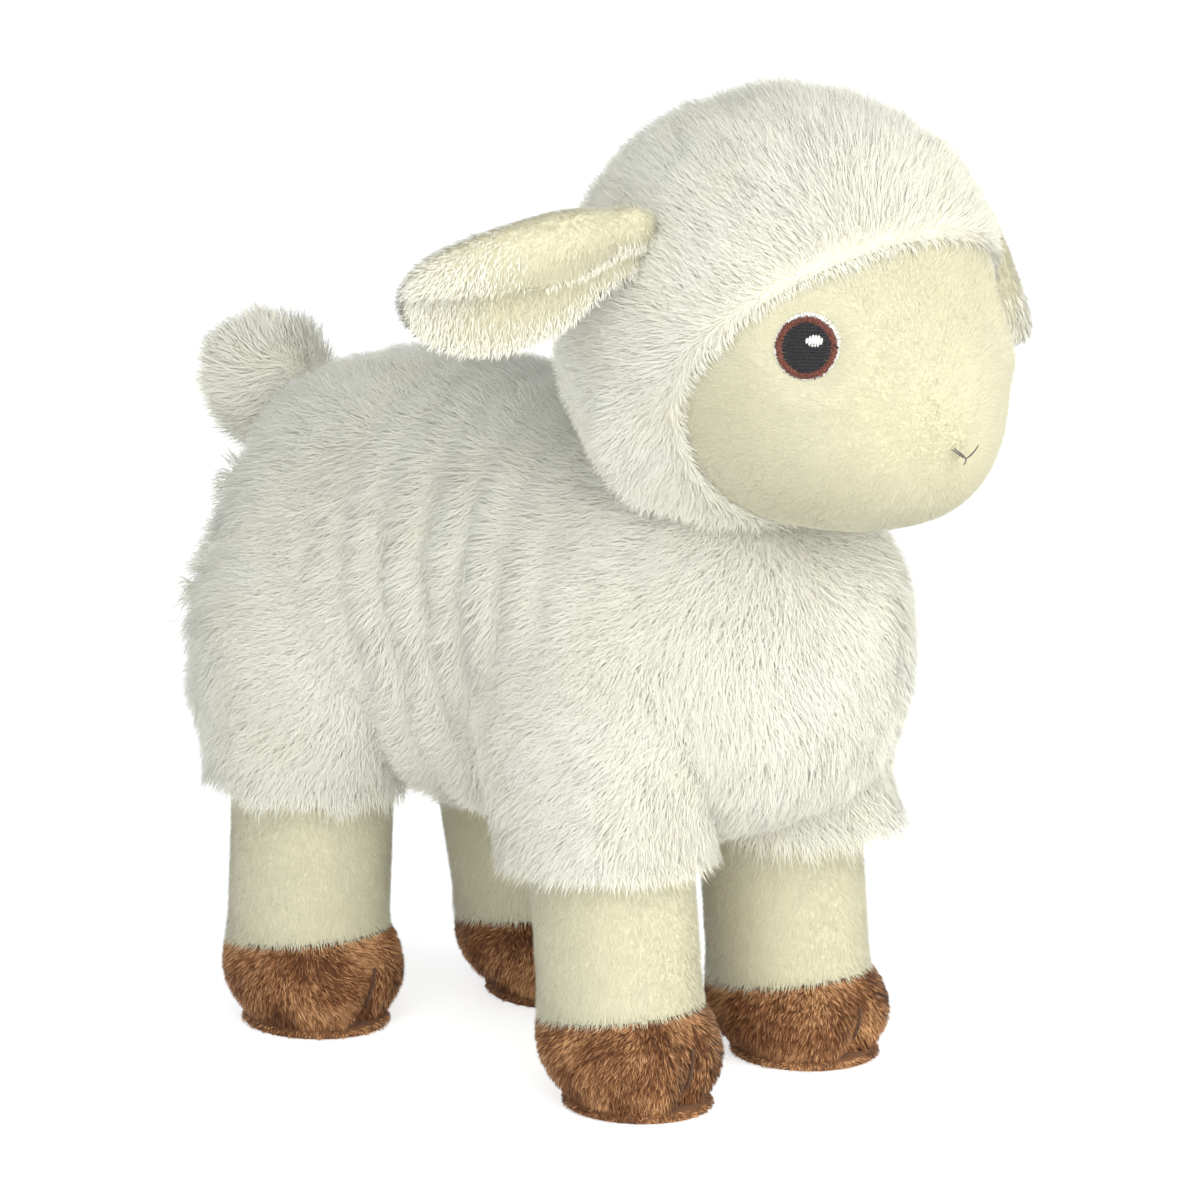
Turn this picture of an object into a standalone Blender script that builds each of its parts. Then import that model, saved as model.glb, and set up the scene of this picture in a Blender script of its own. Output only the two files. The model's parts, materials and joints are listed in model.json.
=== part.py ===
"""A standing plush sheep, as its separate sewn pieces.

Metres, +Z up. The sheep faces -Y, so its right side is at -X. Each stuffed piece is a soft form:
superellipse sections along an axis, which swell and taper by the shares given with it. A fleece
piece's outer face is the outside of its pile, and a skin is open where the next piece is sewn on.
"""

import math

import bmesh
import bpy
import numpy as np
from mathutils import Matrix, Vector

# Torso, along Y: the shares run from the rump to the chest
TORSO_LENGTH = 0.176
TORSO_WIDTH = 0.084
TORSO_HEIGHT = 0.101
BELLY_HEIGHT = 0.0555
TORSO_WIDTH_SHARES = (0.96, 1.0, 0.96, 1.0, 1.02)
TORSO_HEIGHT_SHARES = (0.96, 1.0, 1.0, 0.95, 0.88)
TORSO_RISE_SHARES = (0.05, 0.015, 0.0, 0.0, -0.01)
TORSO_END_POWER = 3.0
TORSO_SIDE_POWER = 2.3
FLEECE_THICKNESS = 0.0036

# Head, along Y from its back to its muzzle, before it is turned
HEAD_LENGTH = 0.112
HEAD_WIDTH = 0.082
HEAD_HEIGHT = 0.091
HEAD_ABOVE_NECK = 0.048
HEAD_AHEAD_OF_NECK = 0.0235
HEAD_TURN_DEGREES = -8.0
HEAD_WIDTH_SHARES = (0.98, 1.02, 1.02, 0.98, 0.84)
HEAD_HEIGHT_SHARES = (1.0, 1.04, 1.0, 0.97, 0.86)
HEAD_RISE_SHARES = (-0.07, -0.03, 0.01, -0.03, -0.17)
HEAD_END_POWER = 2.2
HEAD_SIDE_POWER = 2.1
FACE_THICKNESS = 0.0018
HOOD_PILE = 0.0035

# The face patch's edge: an ellipsoid in front of the muzzle cuts it from the hood
FACE_EDGE_WIDTH = 0.122
FACE_EDGE_LENGTH = 0.146
FACE_EDGE_HEIGHT = 0.087
FACE_EDGE_AHEAD_SHARE = 0.54
FACE_EDGE_DROP_SHARE = 0.17

# Neck: a ball of stuffing between the torso and the head
NECK_RADIUS = 0.023
NECK_PLACE_SHARE = 0.781
NECK_BELOW_BACK = 0.0205
HEAD_CLEARANCE = 0.0058

# Legs: each hip is an ellipsoid that is round about the hip's own X axis
HIP_RADIUS = 0.0315
HIP_WIDTH = 0.047
HIP_HEIGHT = 0.085
HIP_SPREAD = 0.0275
FRONT_RIGHT_HIP_SHARE = 0.7
FRONT_LEFT_HIP_SHARE = 0.716
HIND_RIGHT_HIP_SHARE = 0.19
HIND_LEFT_HIP_SHARE = 0.22
HIP_MOUTH_DEGREES = 66.0
SOCKET_MOUTH_DEGREES = 84.0
SOCKET_CLEARANCE = 0.0009
SOCKET_FLARE = 0.005
HEM_HEIGHT = 0.0585
HEM_FLARE = 0.0015
SHIN_WIDTH = 0.0368
SHIN_LENGTH = 0.0394
SHIN_THICKNESS = 0.0016
SHIN_TUCK = 0.005
HOOF_BULGE = 0.0018
HOOF_BULGE_END_SHARE = 0.9
HOOF_DRAW_IN = 0.0032
HOOF_DRAW_IN_POWER = 4
HOOF_OUTER_SHARES = (0.0, 0.25, 0.5, 0.75, 0.92, 1.0)
HOOF_INNER_SHARES = (1.0, 0.66, 0.33, 0.0)
HOOF_THICKNESS = 0.0018
HOOF_RIM_TILT = 0.0023
TOE_REACH = 0.0032
CLEFT_DEPTH = 0.0045
CLEFT_DEGREES = 17.0
CLEFT_STITCH_SHARES = (0.35, 0.8)
SOLE_THICKNESS = 0.002
SOLE_FLANGE = 0.0008

# Each leg: how far outward and forward of its hip the foot stands, and how high its hoof is sewn
FRONT_RIGHT_STANCE = (0.0, 0.0075, 0.0217)
FRONT_LEFT_STANCE = (0.0015, 0.006, 0.0185)
HIND_RIGHT_STANCE = (0.001, -0.003, 0.0213)
HIND_LEFT_STANCE = (0.0, 0.018, 0.019)

# Pellet bag in each hoof
PELLET_BAG_HEIGHT = 0.009
PELLET_BAG_SHARE = 0.78
PELLET_BAG_SIDE_DEGREES = 60.0

# Ears: two leaves sewn together, folded along their length
EAR_LENGTH = 0.063
EAR_WIDTH = 0.036
EAR_ROOT_RADIUS = 0.009
EAR_LEAF_THICKNESS = 0.0028
EAR_FOLD_DEPTH = 0.0075
EAR_PLACE_SHARE = 0.5
EAR_ANGLE_DEGREES = 24.0
RIGHT_EAR_POSE_DEGREES = (13.0, -2.0)
LEFT_EAR_POSE_DEGREES = (26.0, 44.0)
EAR_FACING_DEGREES = 18.0
EAR_WIDEST_SHARE = 0.5
EAR_SAG_SHARE = 0.8
EAR_SHOULDER_POWER = 1.5
EAR_FOLD_WIDTH_SHARE = 0.25
EAR_FOLD_POWER = 0.8
EAR_TACK_PLACE_SHARE = 1.3
EAR_CLEARANCE = 0.0008

# Tail: a pear on the top of the rump
TAIL_LENGTH = 0.027
TAIL_RADIUS = 0.0148
TAIL_PLACE_SHARE = 0.025
TAIL_RADIUS_SHARES = (0.3, 0.8, 1.0, 1.02, 0.92)
TAIL_END_POWER = 3.0
TAIL_CLEARANCE = 0.0003

# Embroidery on the face
EYE_OUTLINE_RADIUS = 0.0071
EYE_RING_RADIUS = 0.0066
EYE_PUPIL_RADIUS = 0.0056
EYE_HIGHLIGHT_RADIUS = 0.0016
EYE_PLACE_SHARE = 0.825
EYE_ANGLE_DEGREES = 19.0
HIGHLIGHT_PLACE_SHARES = (0.22, 0.24)
NOSE_WIDTH = 0.0095
NOSE_HEIGHT = 0.0036
NOSE_STEM = 0.0012
NOSE_PLACE_SHARE = 0.9975
THREAD_THICKNESS = 0.0009
DISH_RADIUS = 0.055

# Stitching that closes the belly, between the legs
CLOSING_SEAM_SHARES = (0.43, 0.52)

# Shared clearances and overruns
GAP = 0.0003
STUFFING_GAP = 0.0007
OVERRUN = 0.004
EDGE_SHARE = 0.3
NEAR_SHARE = 0.0005
STEEP_SHARE = 0.5

# How finely the forms are divided
TORSO_SEGMENTS = 22
TORSO_RINGS = 13
HEAD_SEGMENTS = 22
HEAD_RINGS = 13
NECK_SEGMENTS = 20
NECK_RINGS = 10
HIP_SEGMENTS = 20
HIP_RINGS = 5
SLEEVE_RINGS = 3
SOCKET_SEGMENTS = 24
SOCKET_RINGS = 7
HOOF_SEGMENTS = 22
SOLE_SEGMENTS = 18
PELLET_BAG_RINGS = 5
EAR_SEGMENTS = 12
EAR_RINGS = 11
TAIL_SEGMENTS = 14
TAIL_RINGS = 7
EYE_SEGMENTS = 20
CUTTER_SEGMENTS = 32
CUTTER_RINGS = 16
THREAD_SIDES = 6
THREAD_POINTS = 4

# Colour, roughness and metallic value of each cloth and thread
FINISHES = {
    "fleece": ((0.86, 0.84, 0.75), 0.95, 0.0),
    "short_pile": ((0.88, 0.80, 0.58), 0.9, 0.0),
    "hoof_pile": ((0.20, 0.085, 0.035), 0.85, 0.0),
    "stuffing": ((0.9, 0.9, 0.9), 1.0, 0.0),
    "pellet_cloth": ((0.7, 0.68, 0.62), 0.9, 0.0),
    "white_thread": ((0.9, 0.89, 0.85), 0.7, 0.0),
    "brown_thread": ((0.12, 0.02, 0.01), 0.6, 0.0),
    "black_thread": ((0.012, 0.008, 0.008), 0.5, 0.0),
    "grey_thread": ((0.06, 0.05, 0.05), 0.6, 0.0),
}

TORSO_MIDDLE_HEIGHT = BELLY_HEIGHT + TORSO_HEIGHT / 2
NECK_AT = Vector((
    0,
    TORSO_LENGTH / 2 - NECK_PLACE_SHARE * TORSO_LENGTH,
    BELLY_HEIGHT + TORSO_HEIGHT - NECK_BELOW_BACK,
))


def soft_form(length, width, height, shares, end_power, side_power, centre):
    """A stuffed shape along Y, given by its sizes and by width, height and rise shares."""
    return {
        "length": length,
        "width": width,
        "height": height,
        "shares": shares,
        "end_power": end_power,
        "side_power": side_power,
        "centre": np.array(centre),
    }


def along(shares, place):
    """A smooth curve through evenly spaced shares, read at places from 0 to 1."""
    values = np.array(shares)
    first = 2 * values[0] - values[1]
    last = 2 * values[-1] - values[-2]
    padded = np.concatenate([[first], values, [last]])
    at = np.clip(place, 0, 1) * (len(values) - 1)
    low = np.minimum(np.asarray(at).astype(int), len(values) - 2)
    t = at - low
    before, start, end, after = (padded[low + step] for step in range(4))
    bend = 2 * before - 5 * start + 4 * end - after
    twist = 3 * start - before - 3 * end + after
    return 0.5 * (2 * start + (end - before) * t + bend * t**2 + twist * t**3)


def superellipse(turn, power):
    """The two coordinates of a unit superellipse at an angle."""
    across = np.sign(np.cos(turn)) * np.abs(np.cos(turn)) ** (2 / power)
    upward = np.sign(np.sin(turn)) * np.abs(np.sin(turn)) ** (2 / power)
    return across, upward


def form_points(form, place, turn, grow=0):
    """Points on a soft form grown by a length: place 0 is its rear, turn 0 its +X side."""
    width_shares, height_shares, rise_shares = form["shares"]
    cap = np.abs(1 - np.abs(2 * place - 1) ** form["end_power"]) ** (1 / form["end_power"])
    half_width = cap * (form["width"] / 2 * along(width_shares, place) + grow)
    half_height = cap * (form["height"] / 2 * along(height_shares, place) + grow)
    across, upward = superellipse(turn, form["side_power"])
    forward = (1 - 2 * place) * (form["length"] / 2 + grow)
    rise = form["height"] * along(rise_shares, place)
    x = half_width * across
    z = rise + half_height * upward
    return np.stack([x, forward + 0 * x, z], axis=-1) + form["centre"]


def form_rings(form, ring_count, segment_count, grow=0):
    """The rings of a soft form, closer together at its ends, and its two end points."""
    places = (1 - np.cos(math.pi * np.arange(1, ring_count + 1) / (ring_count + 1))) / 2
    turns = 2 * math.pi * np.arange(segment_count) / segment_count
    rings = form_points(form, places[:, None], turns[None, :], grow)
    ends = form_points(form, np.array([0.0, 1.0]), np.zeros(2), grow)
    return rings, ends[0], ends[1]


def closed_form(rings, first_point, last_point):
    """Vertices and faces of rings closed to a point at each end."""
    ring_count, segment_count = rings.shape[:2]
    vertices = [tuple(point) for point in rings.reshape(-1, 3)]
    vertices += [tuple(first_point), tuple(last_point)]
    faces = ring_strips(ring_count, segment_count, 0)
    faces += fan(0, segment_count, len(vertices) - 2)
    faces += fan((ring_count - 1) * segment_count, segment_count, len(vertices) - 1)
    return vertices, faces


def ring_strips(ring_count, segment_count, start):
    """Quads between each ring and the next."""
    faces = []
    for ring in range(ring_count - 1):
        for segment in range(segment_count):
            beside = (segment + 1) % segment_count
            low = start + ring * segment_count
            high = low + segment_count
            faces.append((low + segment, low + beside, high + beside, high + segment))
    return faces


def fan(start, segment_count, tip):
    """Triangles from one ring to a point."""
    return [(start + s, start + (s + 1) % segment_count, tip) for s in range(segment_count)]


def ring_body(rings):
    """Vertices and faces of a tube with walls: its rings run up the outside and down the inside."""
    ring_count, segment_count = rings.shape[:2]
    vertices = [tuple(point) for point in rings.reshape(-1, 3)]
    faces = ring_strips(ring_count, segment_count, 0)
    last = (ring_count - 1) * segment_count
    for segment in range(segment_count):
        beside = (segment + 1) % segment_count
        faces.append((last + segment, last + beside, beside, segment))
    return vertices, faces


def thimble(outer, outer_tip, inner, inner_tip):
    """Vertices and faces of a skin that is open at one end, each set of rings from its rim."""
    outer_count, segment_count = outer.shape[:2]
    inner_count = inner.shape[0]
    vertices = [tuple(point) for point in outer.reshape(-1, 3)]
    vertices += [tuple(point) for point in inner.reshape(-1, 3)]
    vertices += [tuple(outer_tip), tuple(inner_tip)]
    inner_start = outer_count * segment_count
    faces = ring_strips(outer_count, segment_count, 0)
    faces += fan((outer_count - 1) * segment_count, segment_count, len(vertices) - 2)
    faces += ring_strips(inner_count, segment_count, inner_start)
    faces += fan(inner_start + (inner_count - 1) * segment_count, segment_count, len(vertices) - 1)
    for segment in range(segment_count):
        beside = (segment + 1) % segment_count
        faces.append((segment, beside, inner_start + beside, inner_start + segment))
    return vertices, faces


def finish(name):
    """The material of one cloth or thread, made once."""
    found = bpy.data.materials.get(name)
    if found:
        return found
    colour, roughness, metallic = FINISHES[name]
    made = bpy.data.materials.new(name)
    made.use_nodes = True
    shader = made.node_tree.nodes["Principled BSDF"]
    shader.inputs["Base Color"].default_value = (*colour, 1)
    shader.inputs["Roughness"].default_value = roughness
    shader.inputs["Metallic"].default_value = metallic
    return made


def empty_at(name, place, parent=None, turn=0):
    """An empty on a joint's axis, which its moving pieces are parented to."""
    holder = bpy.data.objects.new(name, None)
    bpy.context.scene.collection.objects.link(holder)
    holder.parent = parent
    holder.location = place
    holder.rotation_euler = (0, 0, turn)
    return holder


def piece(name, shape, finish_name, parent=None):
    """One named object from vertices and faces, with its faces turned outward."""
    vertices, faces = shape
    mesh = bpy.data.meshes.new(name)
    mesh.from_pydata(vertices, [], faces)
    work = bmesh.new()
    work.from_mesh(mesh)
    bmesh.ops.recalc_face_normals(work, faces=work.faces)
    work.to_mesh(mesh)
    work.free()
    mesh.shade_smooth()
    made = bpy.data.objects.new(name, mesh)
    bpy.context.scene.collection.objects.link(made)
    made.parent = parent
    if finish_name:
        mesh.materials.append(finish(finish_name))
    return made


def cutter(name, shape, parent=None):
    """A hidden shape that cuts others."""
    made = piece(name, shape, None, parent)
    made.hide_render = True
    made.display_type = "WIRE"
    return made


def cut(target, tools, operation="DIFFERENCE"):
    """Boolean modifiers, one for each cutter."""
    for tool in tools:
        modifier = target.modifiers.new(tool.name, "BOOLEAN")
        modifier.operation = operation
        modifier.solver = "EXACT"
        modifier.object = tool


def ellipsoid(centre, half_width, half_length, half_height, segment_count, ring_count):
    """Vertices and faces of an ellipsoid."""
    rise = math.pi * np.arange(1, ring_count + 1) / (ring_count + 1) - math.pi / 2
    turn = 2 * math.pi * np.arange(segment_count) / segment_count
    level = np.cos(rise)[:, None]
    x = half_width * level * np.cos(turn)[None, :]
    y = half_length * level * np.sin(turn)[None, :]
    z = half_height * np.sin(rise)[:, None] + 0 * x
    centre = np.array(centre)
    pole = np.array([0, 0, half_height])
    return closed_form(np.stack([x, y, z], axis=-1) + centre, centre - pole, centre + pole)


def rod(points, radius):
    """A thread: a closed tube of round sections along a list of points."""
    path = np.array(points)
    heading = np.gradient(path, axis=0)
    heading /= np.linalg.norm(heading, axis=1)[:, None]
    beside = (0, 0, 1) if abs(heading[0][2]) < STEEP_SHARE else (0, 1, 0)
    across = np.cross(heading, beside)
    across /= np.linalg.norm(across, axis=1)[:, None]
    upward = np.cross(heading, across)
    turn = 2 * math.pi * np.arange(THREAD_SIDES) / THREAD_SIDES
    around = across[:, None] * np.cos(turn)[None, :, None]
    around = around + upward[:, None] * np.sin(turn)[None, :, None]
    rings = path[:, None] + radius * around
    first = path[0] - heading[0] * radius / 2
    last = path[-1] + heading[-1] * radius / 2
    return closed_form(rings, first, last)


TORSO = soft_form(
    TORSO_LENGTH,
    TORSO_WIDTH,
    TORSO_HEIGHT,
    (TORSO_WIDTH_SHARES, TORSO_HEIGHT_SHARES, TORSO_RISE_SHARES),
    TORSO_END_POWER,
    TORSO_SIDE_POWER,
    (0, 0, TORSO_MIDDLE_HEIGHT),
)
HEAD = soft_form(
    HEAD_LENGTH,
    HEAD_WIDTH,
    HEAD_HEIGHT,
    (HEAD_WIDTH_SHARES, HEAD_HEIGHT_SHARES, HEAD_RISE_SHARES),
    HEAD_END_POWER,
    HEAD_SIDE_POWER,
    (0, -HEAD_AHEAD_OF_NECK, HEAD_ABOVE_NECK),
)


def torso_shape(grow):
    return closed_form(*form_rings(TORSO, TORSO_RINGS, TORSO_SEGMENTS, grow))


def head_shape(grow):
    return closed_form(*form_rings(HEAD, HEAD_RINGS, HEAD_SEGMENTS, grow))


def hip_rings(grow, mouth, segment_count, ring_count):
    """Rings of the hip's round top, from its mouth down to the level of the hip's axis."""
    rises = np.linspace(mouth, 0, ring_count)[:, None]
    turn = 2 * math.pi * np.arange(segment_count)[None, :] / segment_count
    x = (HIP_WIDTH / 2 + grow) * np.cos(rises) * np.cos(turn)
    y = (HIP_RADIUS + grow) * np.cos(rises) * np.sin(turn)
    z = (HIP_RADIUS + grow) * np.sin(rises) + 0 * x
    return np.stack([x, y, z], axis=-1)


def leg_ring(stance, height, half_width, half_length, segment_count, cleft=0, ahead=0, tilt=0):
    """A ring of a leg at a height, in the hip's frame, with a cleft and a tilt up in front."""
    outward, forward, _ = stance
    share = 1 - height / HIP_HEIGHT
    turn = 2 * math.pi * np.arange(segment_count) / segment_count - math.pi / 2
    from_front = np.abs((turn + math.pi / 2 + math.pi) % (2 * math.pi) - math.pi)
    notch = 1 - cleft / half_length * np.exp(-((from_front / math.radians(CLEFT_DEGREES)) ** 2))
    x = outward * share + half_width * np.cos(turn) * notch
    y = -forward * share - ahead + half_length * np.sin(turn) * notch
    return np.stack([x, y, height - HIP_HEIGHT - tilt * np.sin(turn)], axis=-1)


def sleeve_rings(stance, grow, segment_count, ring_count, low):
    """Rings of the trouser below the hip's axis, which draws in to its hem."""
    hem_width = SHIN_WIDTH / 2 + GAP + FLEECE_THICKNESS + HEM_FLARE + grow
    hem_length = SHIN_LENGTH / 2 + GAP + FLEECE_THICKNESS + HEM_FLARE + grow
    rings = []
    for step in range(1, ring_count + 1):
        height = HIP_HEIGHT + (low - HIP_HEIGHT) * step / ring_count
        fallen = (HIP_HEIGHT - height) / (HIP_HEIGHT - HEM_HEIGHT)
        ease = (1 - math.cos(math.pi * min(fallen, 1))) / 2
        half_width = (HIP_WIDTH / 2 + grow) * (1 - ease) + hem_width * ease
        half_length = (HIP_RADIUS + grow) * (1 - ease) + hem_length * ease
        rings.append(leg_ring(stance, height, half_width, half_length, segment_count))
    return np.array(rings)


def quarter_turned(rings):
    """The same rings, started at the front as a leg's rings are."""
    return np.roll(rings, rings.shape[1] // 4, axis=1)


def trouser_shape(stance):
    mouth = math.radians(HIP_MOUTH_DEGREES)
    walls = []
    for grow, ring_count in ((0, HIP_RINGS), (-FLEECE_THICKNESS, HIP_RINGS - 1)):
        top = quarter_turned(hip_rings(grow, mouth, HIP_SEGMENTS, ring_count))
        sleeve = sleeve_rings(stance, grow, HIP_SEGMENTS, SLEEVE_RINGS, HEM_HEIGHT)
        walls.append(np.concatenate([top, sleeve]))
    outer, inner = walls
    return ring_body(np.concatenate([outer, inner[::-1]]))


def shin_shape(stance):
    low = stance[2] + GAP
    high = HEM_HEIGHT + SHIN_TUCK
    rings = []
    for inset, ends in ((0, ((high, 0), (low, HOOF_RIM_TILT))),
                        (SHIN_THICKNESS, ((low, HOOF_RIM_TILT), (high, 0)))):
        half_width = SHIN_WIDTH / 2 - inset
        half_length = SHIN_LENGTH / 2 - inset
        for height, tilt in ends:
            rings.append(
                leg_ring(stance, height, half_width, half_length, HOOF_SEGMENTS, 0, 0, tilt)
            )
    return ring_body(np.array(rings))


def hoof_profile(share):
    """A hoof's swell, cleft depth and reach forward at a share of its height from the top."""
    swell = HOOF_BULGE * math.sin(math.pi * min(share / HOOF_BULGE_END_SHARE, 1))
    swell -= HOOF_DRAW_IN * share**HOOF_DRAW_IN_POWER
    growth = math.sin(math.pi / 2 * share)
    return swell, CLEFT_DEPTH * growth, TOE_REACH * growth


def hoof_ring(stance, share, inset):
    low = SOLE_THICKNESS + GAP
    height = stance[2] + (low - stance[2]) * share
    swell, cleft, ahead = hoof_profile(share)
    half_width = SHIN_WIDTH / 2 + swell - inset
    half_length = SHIN_LENGTH / 2 + swell - inset
    tilt = HOOF_RIM_TILT * (1 - share)
    return leg_ring(stance, height, half_width, half_length, HOOF_SEGMENTS, cleft, ahead, tilt)


def hoof_shape(stance):
    outer = [hoof_ring(stance, share, 0) for share in HOOF_OUTER_SHARES]
    inner = [hoof_ring(stance, share, HOOF_THICKNESS) for share in HOOF_INNER_SHARES]
    return ring_body(np.array(outer + inner))


def sole_shape(stance):
    swell, _, ahead = hoof_profile(1)
    half_width = SHIN_WIDTH / 2 + swell + SOLE_FLANGE
    half_length = SHIN_LENGTH / 2 + swell + SOLE_FLANGE
    edge = SOLE_THICKNESS * EDGE_SHARE
    levels = (
        (0, edge),
        (edge, 0),
        (SOLE_THICKNESS - edge, 0),
        (SOLE_THICKNESS, edge),
    )
    rings = []
    for height, inset in levels:
        width = half_width - inset
        length = half_length - inset
        rings.append(leg_ring(stance, height, width, length, SOLE_SEGMENTS, 0, ahead))
    rings = np.array(rings)
    return closed_form(rings, rings[0].mean(axis=0), rings[-1].mean(axis=0))


def pellet_bag_levels():
    """The bottom and top of a pellet bag."""
    low = SOLE_THICKNESS + GAP
    return low, low + PELLET_BAG_HEIGHT


def pellet_bag_shape(stance):
    low, high = pellet_bag_levels()
    ahead = hoof_profile(1)[2]
    middle = (low + high) / 2
    rings = []
    side = math.radians(PELLET_BAG_SIDE_DEGREES)
    for rise in np.linspace(-side, side, PELLET_BAG_RINGS):
        level = math.sqrt(math.cos(rise))
        height = middle + (high - low) / 2 * math.sin(rise)
        half_width = SHIN_WIDTH / 2 * PELLET_BAG_SHARE * level
        half_length = (SHIN_LENGTH / 2 - CLEFT_DEPTH) * PELLET_BAG_SHARE * level
        rings.append(leg_ring(stance, height, half_width, half_length, SOLE_SEGMENTS, 0, ahead))
    rings = np.array(rings)
    tip = np.array([0, 0, (high - low) / 2])
    centre = rings.mean(axis=(0, 1))
    return closed_form(rings, centre - tip, centre + tip)


def leg_filling_shape(stance):
    """One stuffing for the trouser, the shin and the top of the hoof."""
    inset = -FLEECE_THICKNESS - STUFFING_GAP
    segments = HIP_SEGMENTS
    top = hip_rings(inset, math.radians(HIP_MOUTH_DEGREES), segments, HIP_RINGS - 1)
    shin_top = HEM_HEIGHT + SHIN_TUCK + GAP
    sleeve = sleeve_rings(stance, inset, segments, SLEEVE_RINGS - 1, shin_top + GAP)
    half_width = SHIN_WIDTH / 2 - SHIN_THICKNESS - STUFFING_GAP
    half_length = SHIN_LENGTH / 2 - SHIN_THICKNESS - STUFFING_GAP
    bottom = pellet_bag_levels()[1] + GAP
    ahead = hoof_profile(1)[2]
    shin = [
        leg_ring(stance, height, half_width, half_length, segments)
        for height in (shin_top, stance[2] + OVERRUN)
    ]
    hoof = leg_ring(
        stance,
        bottom,
        half_width * PELLET_BAG_SHARE,
        (half_length - CLEFT_DEPTH) * PELLET_BAG_SHARE,
        segments,
        0,
        ahead,
    )
    rings = np.concatenate([quarter_turned(top), sleeve, np.array(shin + [hoof])])
    crown = np.array([0, 0, HIP_RADIUS + inset])
    return closed_form(rings, crown, hoof.mean(axis=0))


def cleft_stitch_shape(stance):
    """A thread down the cleft, just clear of the hoof."""
    radius = THREAD_THICKNESS / 2
    points = []
    for share in np.linspace(*CLEFT_STITCH_SHARES, THREAD_POINTS):
        ring = hoof_ring(stance, share, 0)
        points.append(ring[0] + np.array([0, -radius - GAP, 0]))
    return rod(points, radius)


def socket_shape():
    """The hollow in the torso for one hip: its round top, then wider for the sleeve to swing."""
    mouth = math.radians(SOCKET_MOUTH_DEGREES)
    top = hip_rings(SOCKET_CLEARANCE, mouth, SOCKET_SEGMENTS, SOCKET_RINGS)
    wider = top[-1][:, :2] * (1 + SOCKET_FLARE / HIP_RADIUS)
    hem = np.column_stack([wider, np.full(SOCKET_SEGMENTS, HEM_HEIGHT - HIP_HEIGHT)])
    bottom = np.column_stack([wider, np.full(SOCKET_SEGMENTS, -HIP_HEIGHT)])
    rings = np.concatenate([top, hem[None], bottom[None]])
    crown = np.array([0, 0, HIP_RADIUS + SOCKET_CLEARANCE])
    return closed_form(rings, crown, bottom.mean(axis=0))


def leg(name, side, place_share, stance):
    """One leg on its hip, and the cutter of its socket in the torso."""
    outward, forward, hoof_height = stance
    stance = (side * outward, forward, hoof_height)
    hip_y = TORSO_LENGTH / 2 - place_share * TORSO_LENGTH
    hip = empty_at(name + "_hip", (side * HIP_SPREAD, hip_y, HIP_HEIGHT))
    piece(name + "_trouser", trouser_shape(stance), "fleece", hip)
    piece(name + "_shin", shin_shape(stance), "short_pile", hip)
    piece(name + "_hoof", hoof_shape(stance), "hoof_pile", hip)
    piece(name + "_sole", sole_shape(stance), "hoof_pile", hip)
    piece(name + "_leg_filling", leg_filling_shape(stance), "stuffing", hip)
    piece(name + "_pellet_bag", pellet_bag_shape(stance), "pellet_cloth", hip)
    piece(name + "_cleft_stitch", cleft_stitch_shape(stance), "white_thread", hip)
    return cutter(name + "_socket", socket_shape(), hip)


def torso(sockets):
    """The body's skin and stuffing, open at the neck and at each leg."""
    neck_cut = cutter("neck_hollow", neck_ball(SOCKET_CLEARANCE))
    neck_cut.location = NECK_AT
    hollow = cutter("torso_hollow", torso_shape(-FLEECE_THICKNESS))
    skin = piece("torso_skin", torso_shape(0), "fleece")
    cut(skin, [hollow, neck_cut, *sockets])
    filling = piece("torso_filling", torso_shape(-FLEECE_THICKNESS - GAP), "stuffing")
    cut(filling, [neck_cut, *sockets])
    piece("closing_seam", closing_seam_shape(), "white_thread")
    return neck_cut


def closing_seam_shape():
    """The stitch that closes the belly, a thread just below the skin between the legs."""
    radius = THREAD_THICKNESS / 2
    places = np.linspace(*CLOSING_SEAM_SHARES, THREAD_POINTS)
    points = form_points(TORSO, places, np.full(THREAD_POINTS, -math.pi / 2), GAP + radius)
    return rod(points, radius)


def neck_ball(grow):
    radius = NECK_RADIUS + grow
    return ellipsoid((0, 0, 0), radius, radius, radius, NECK_SEGMENTS, NECK_RINGS)


def neck():
    """The ball of stuffing that the head sits on."""
    holder = empty_at("neck_joint", NECK_AT)
    piece("neck_filling", neck_ball(0), "stuffing", holder)


def face_edge(grow, holder, name):
    """The ellipsoid whose surface crosses the head along the edge of the face patch."""
    ahead = HEAD_AHEAD_OF_NECK + FACE_EDGE_AHEAD_SHARE * HEAD_LENGTH
    height = HEAD_ABOVE_NECK - FACE_EDGE_DROP_SHARE * HEAD_HEIGHT
    shape = ellipsoid(
        (0, -ahead, height),
        FACE_EDGE_WIDTH / 2 + grow,
        FACE_EDGE_LENGTH / 2 + grow,
        FACE_EDGE_HEIGHT / 2 + grow,
        CUTTER_SEGMENTS,
        CUTTER_RINGS,
    )
    return cutter(name, shape, holder)


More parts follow.
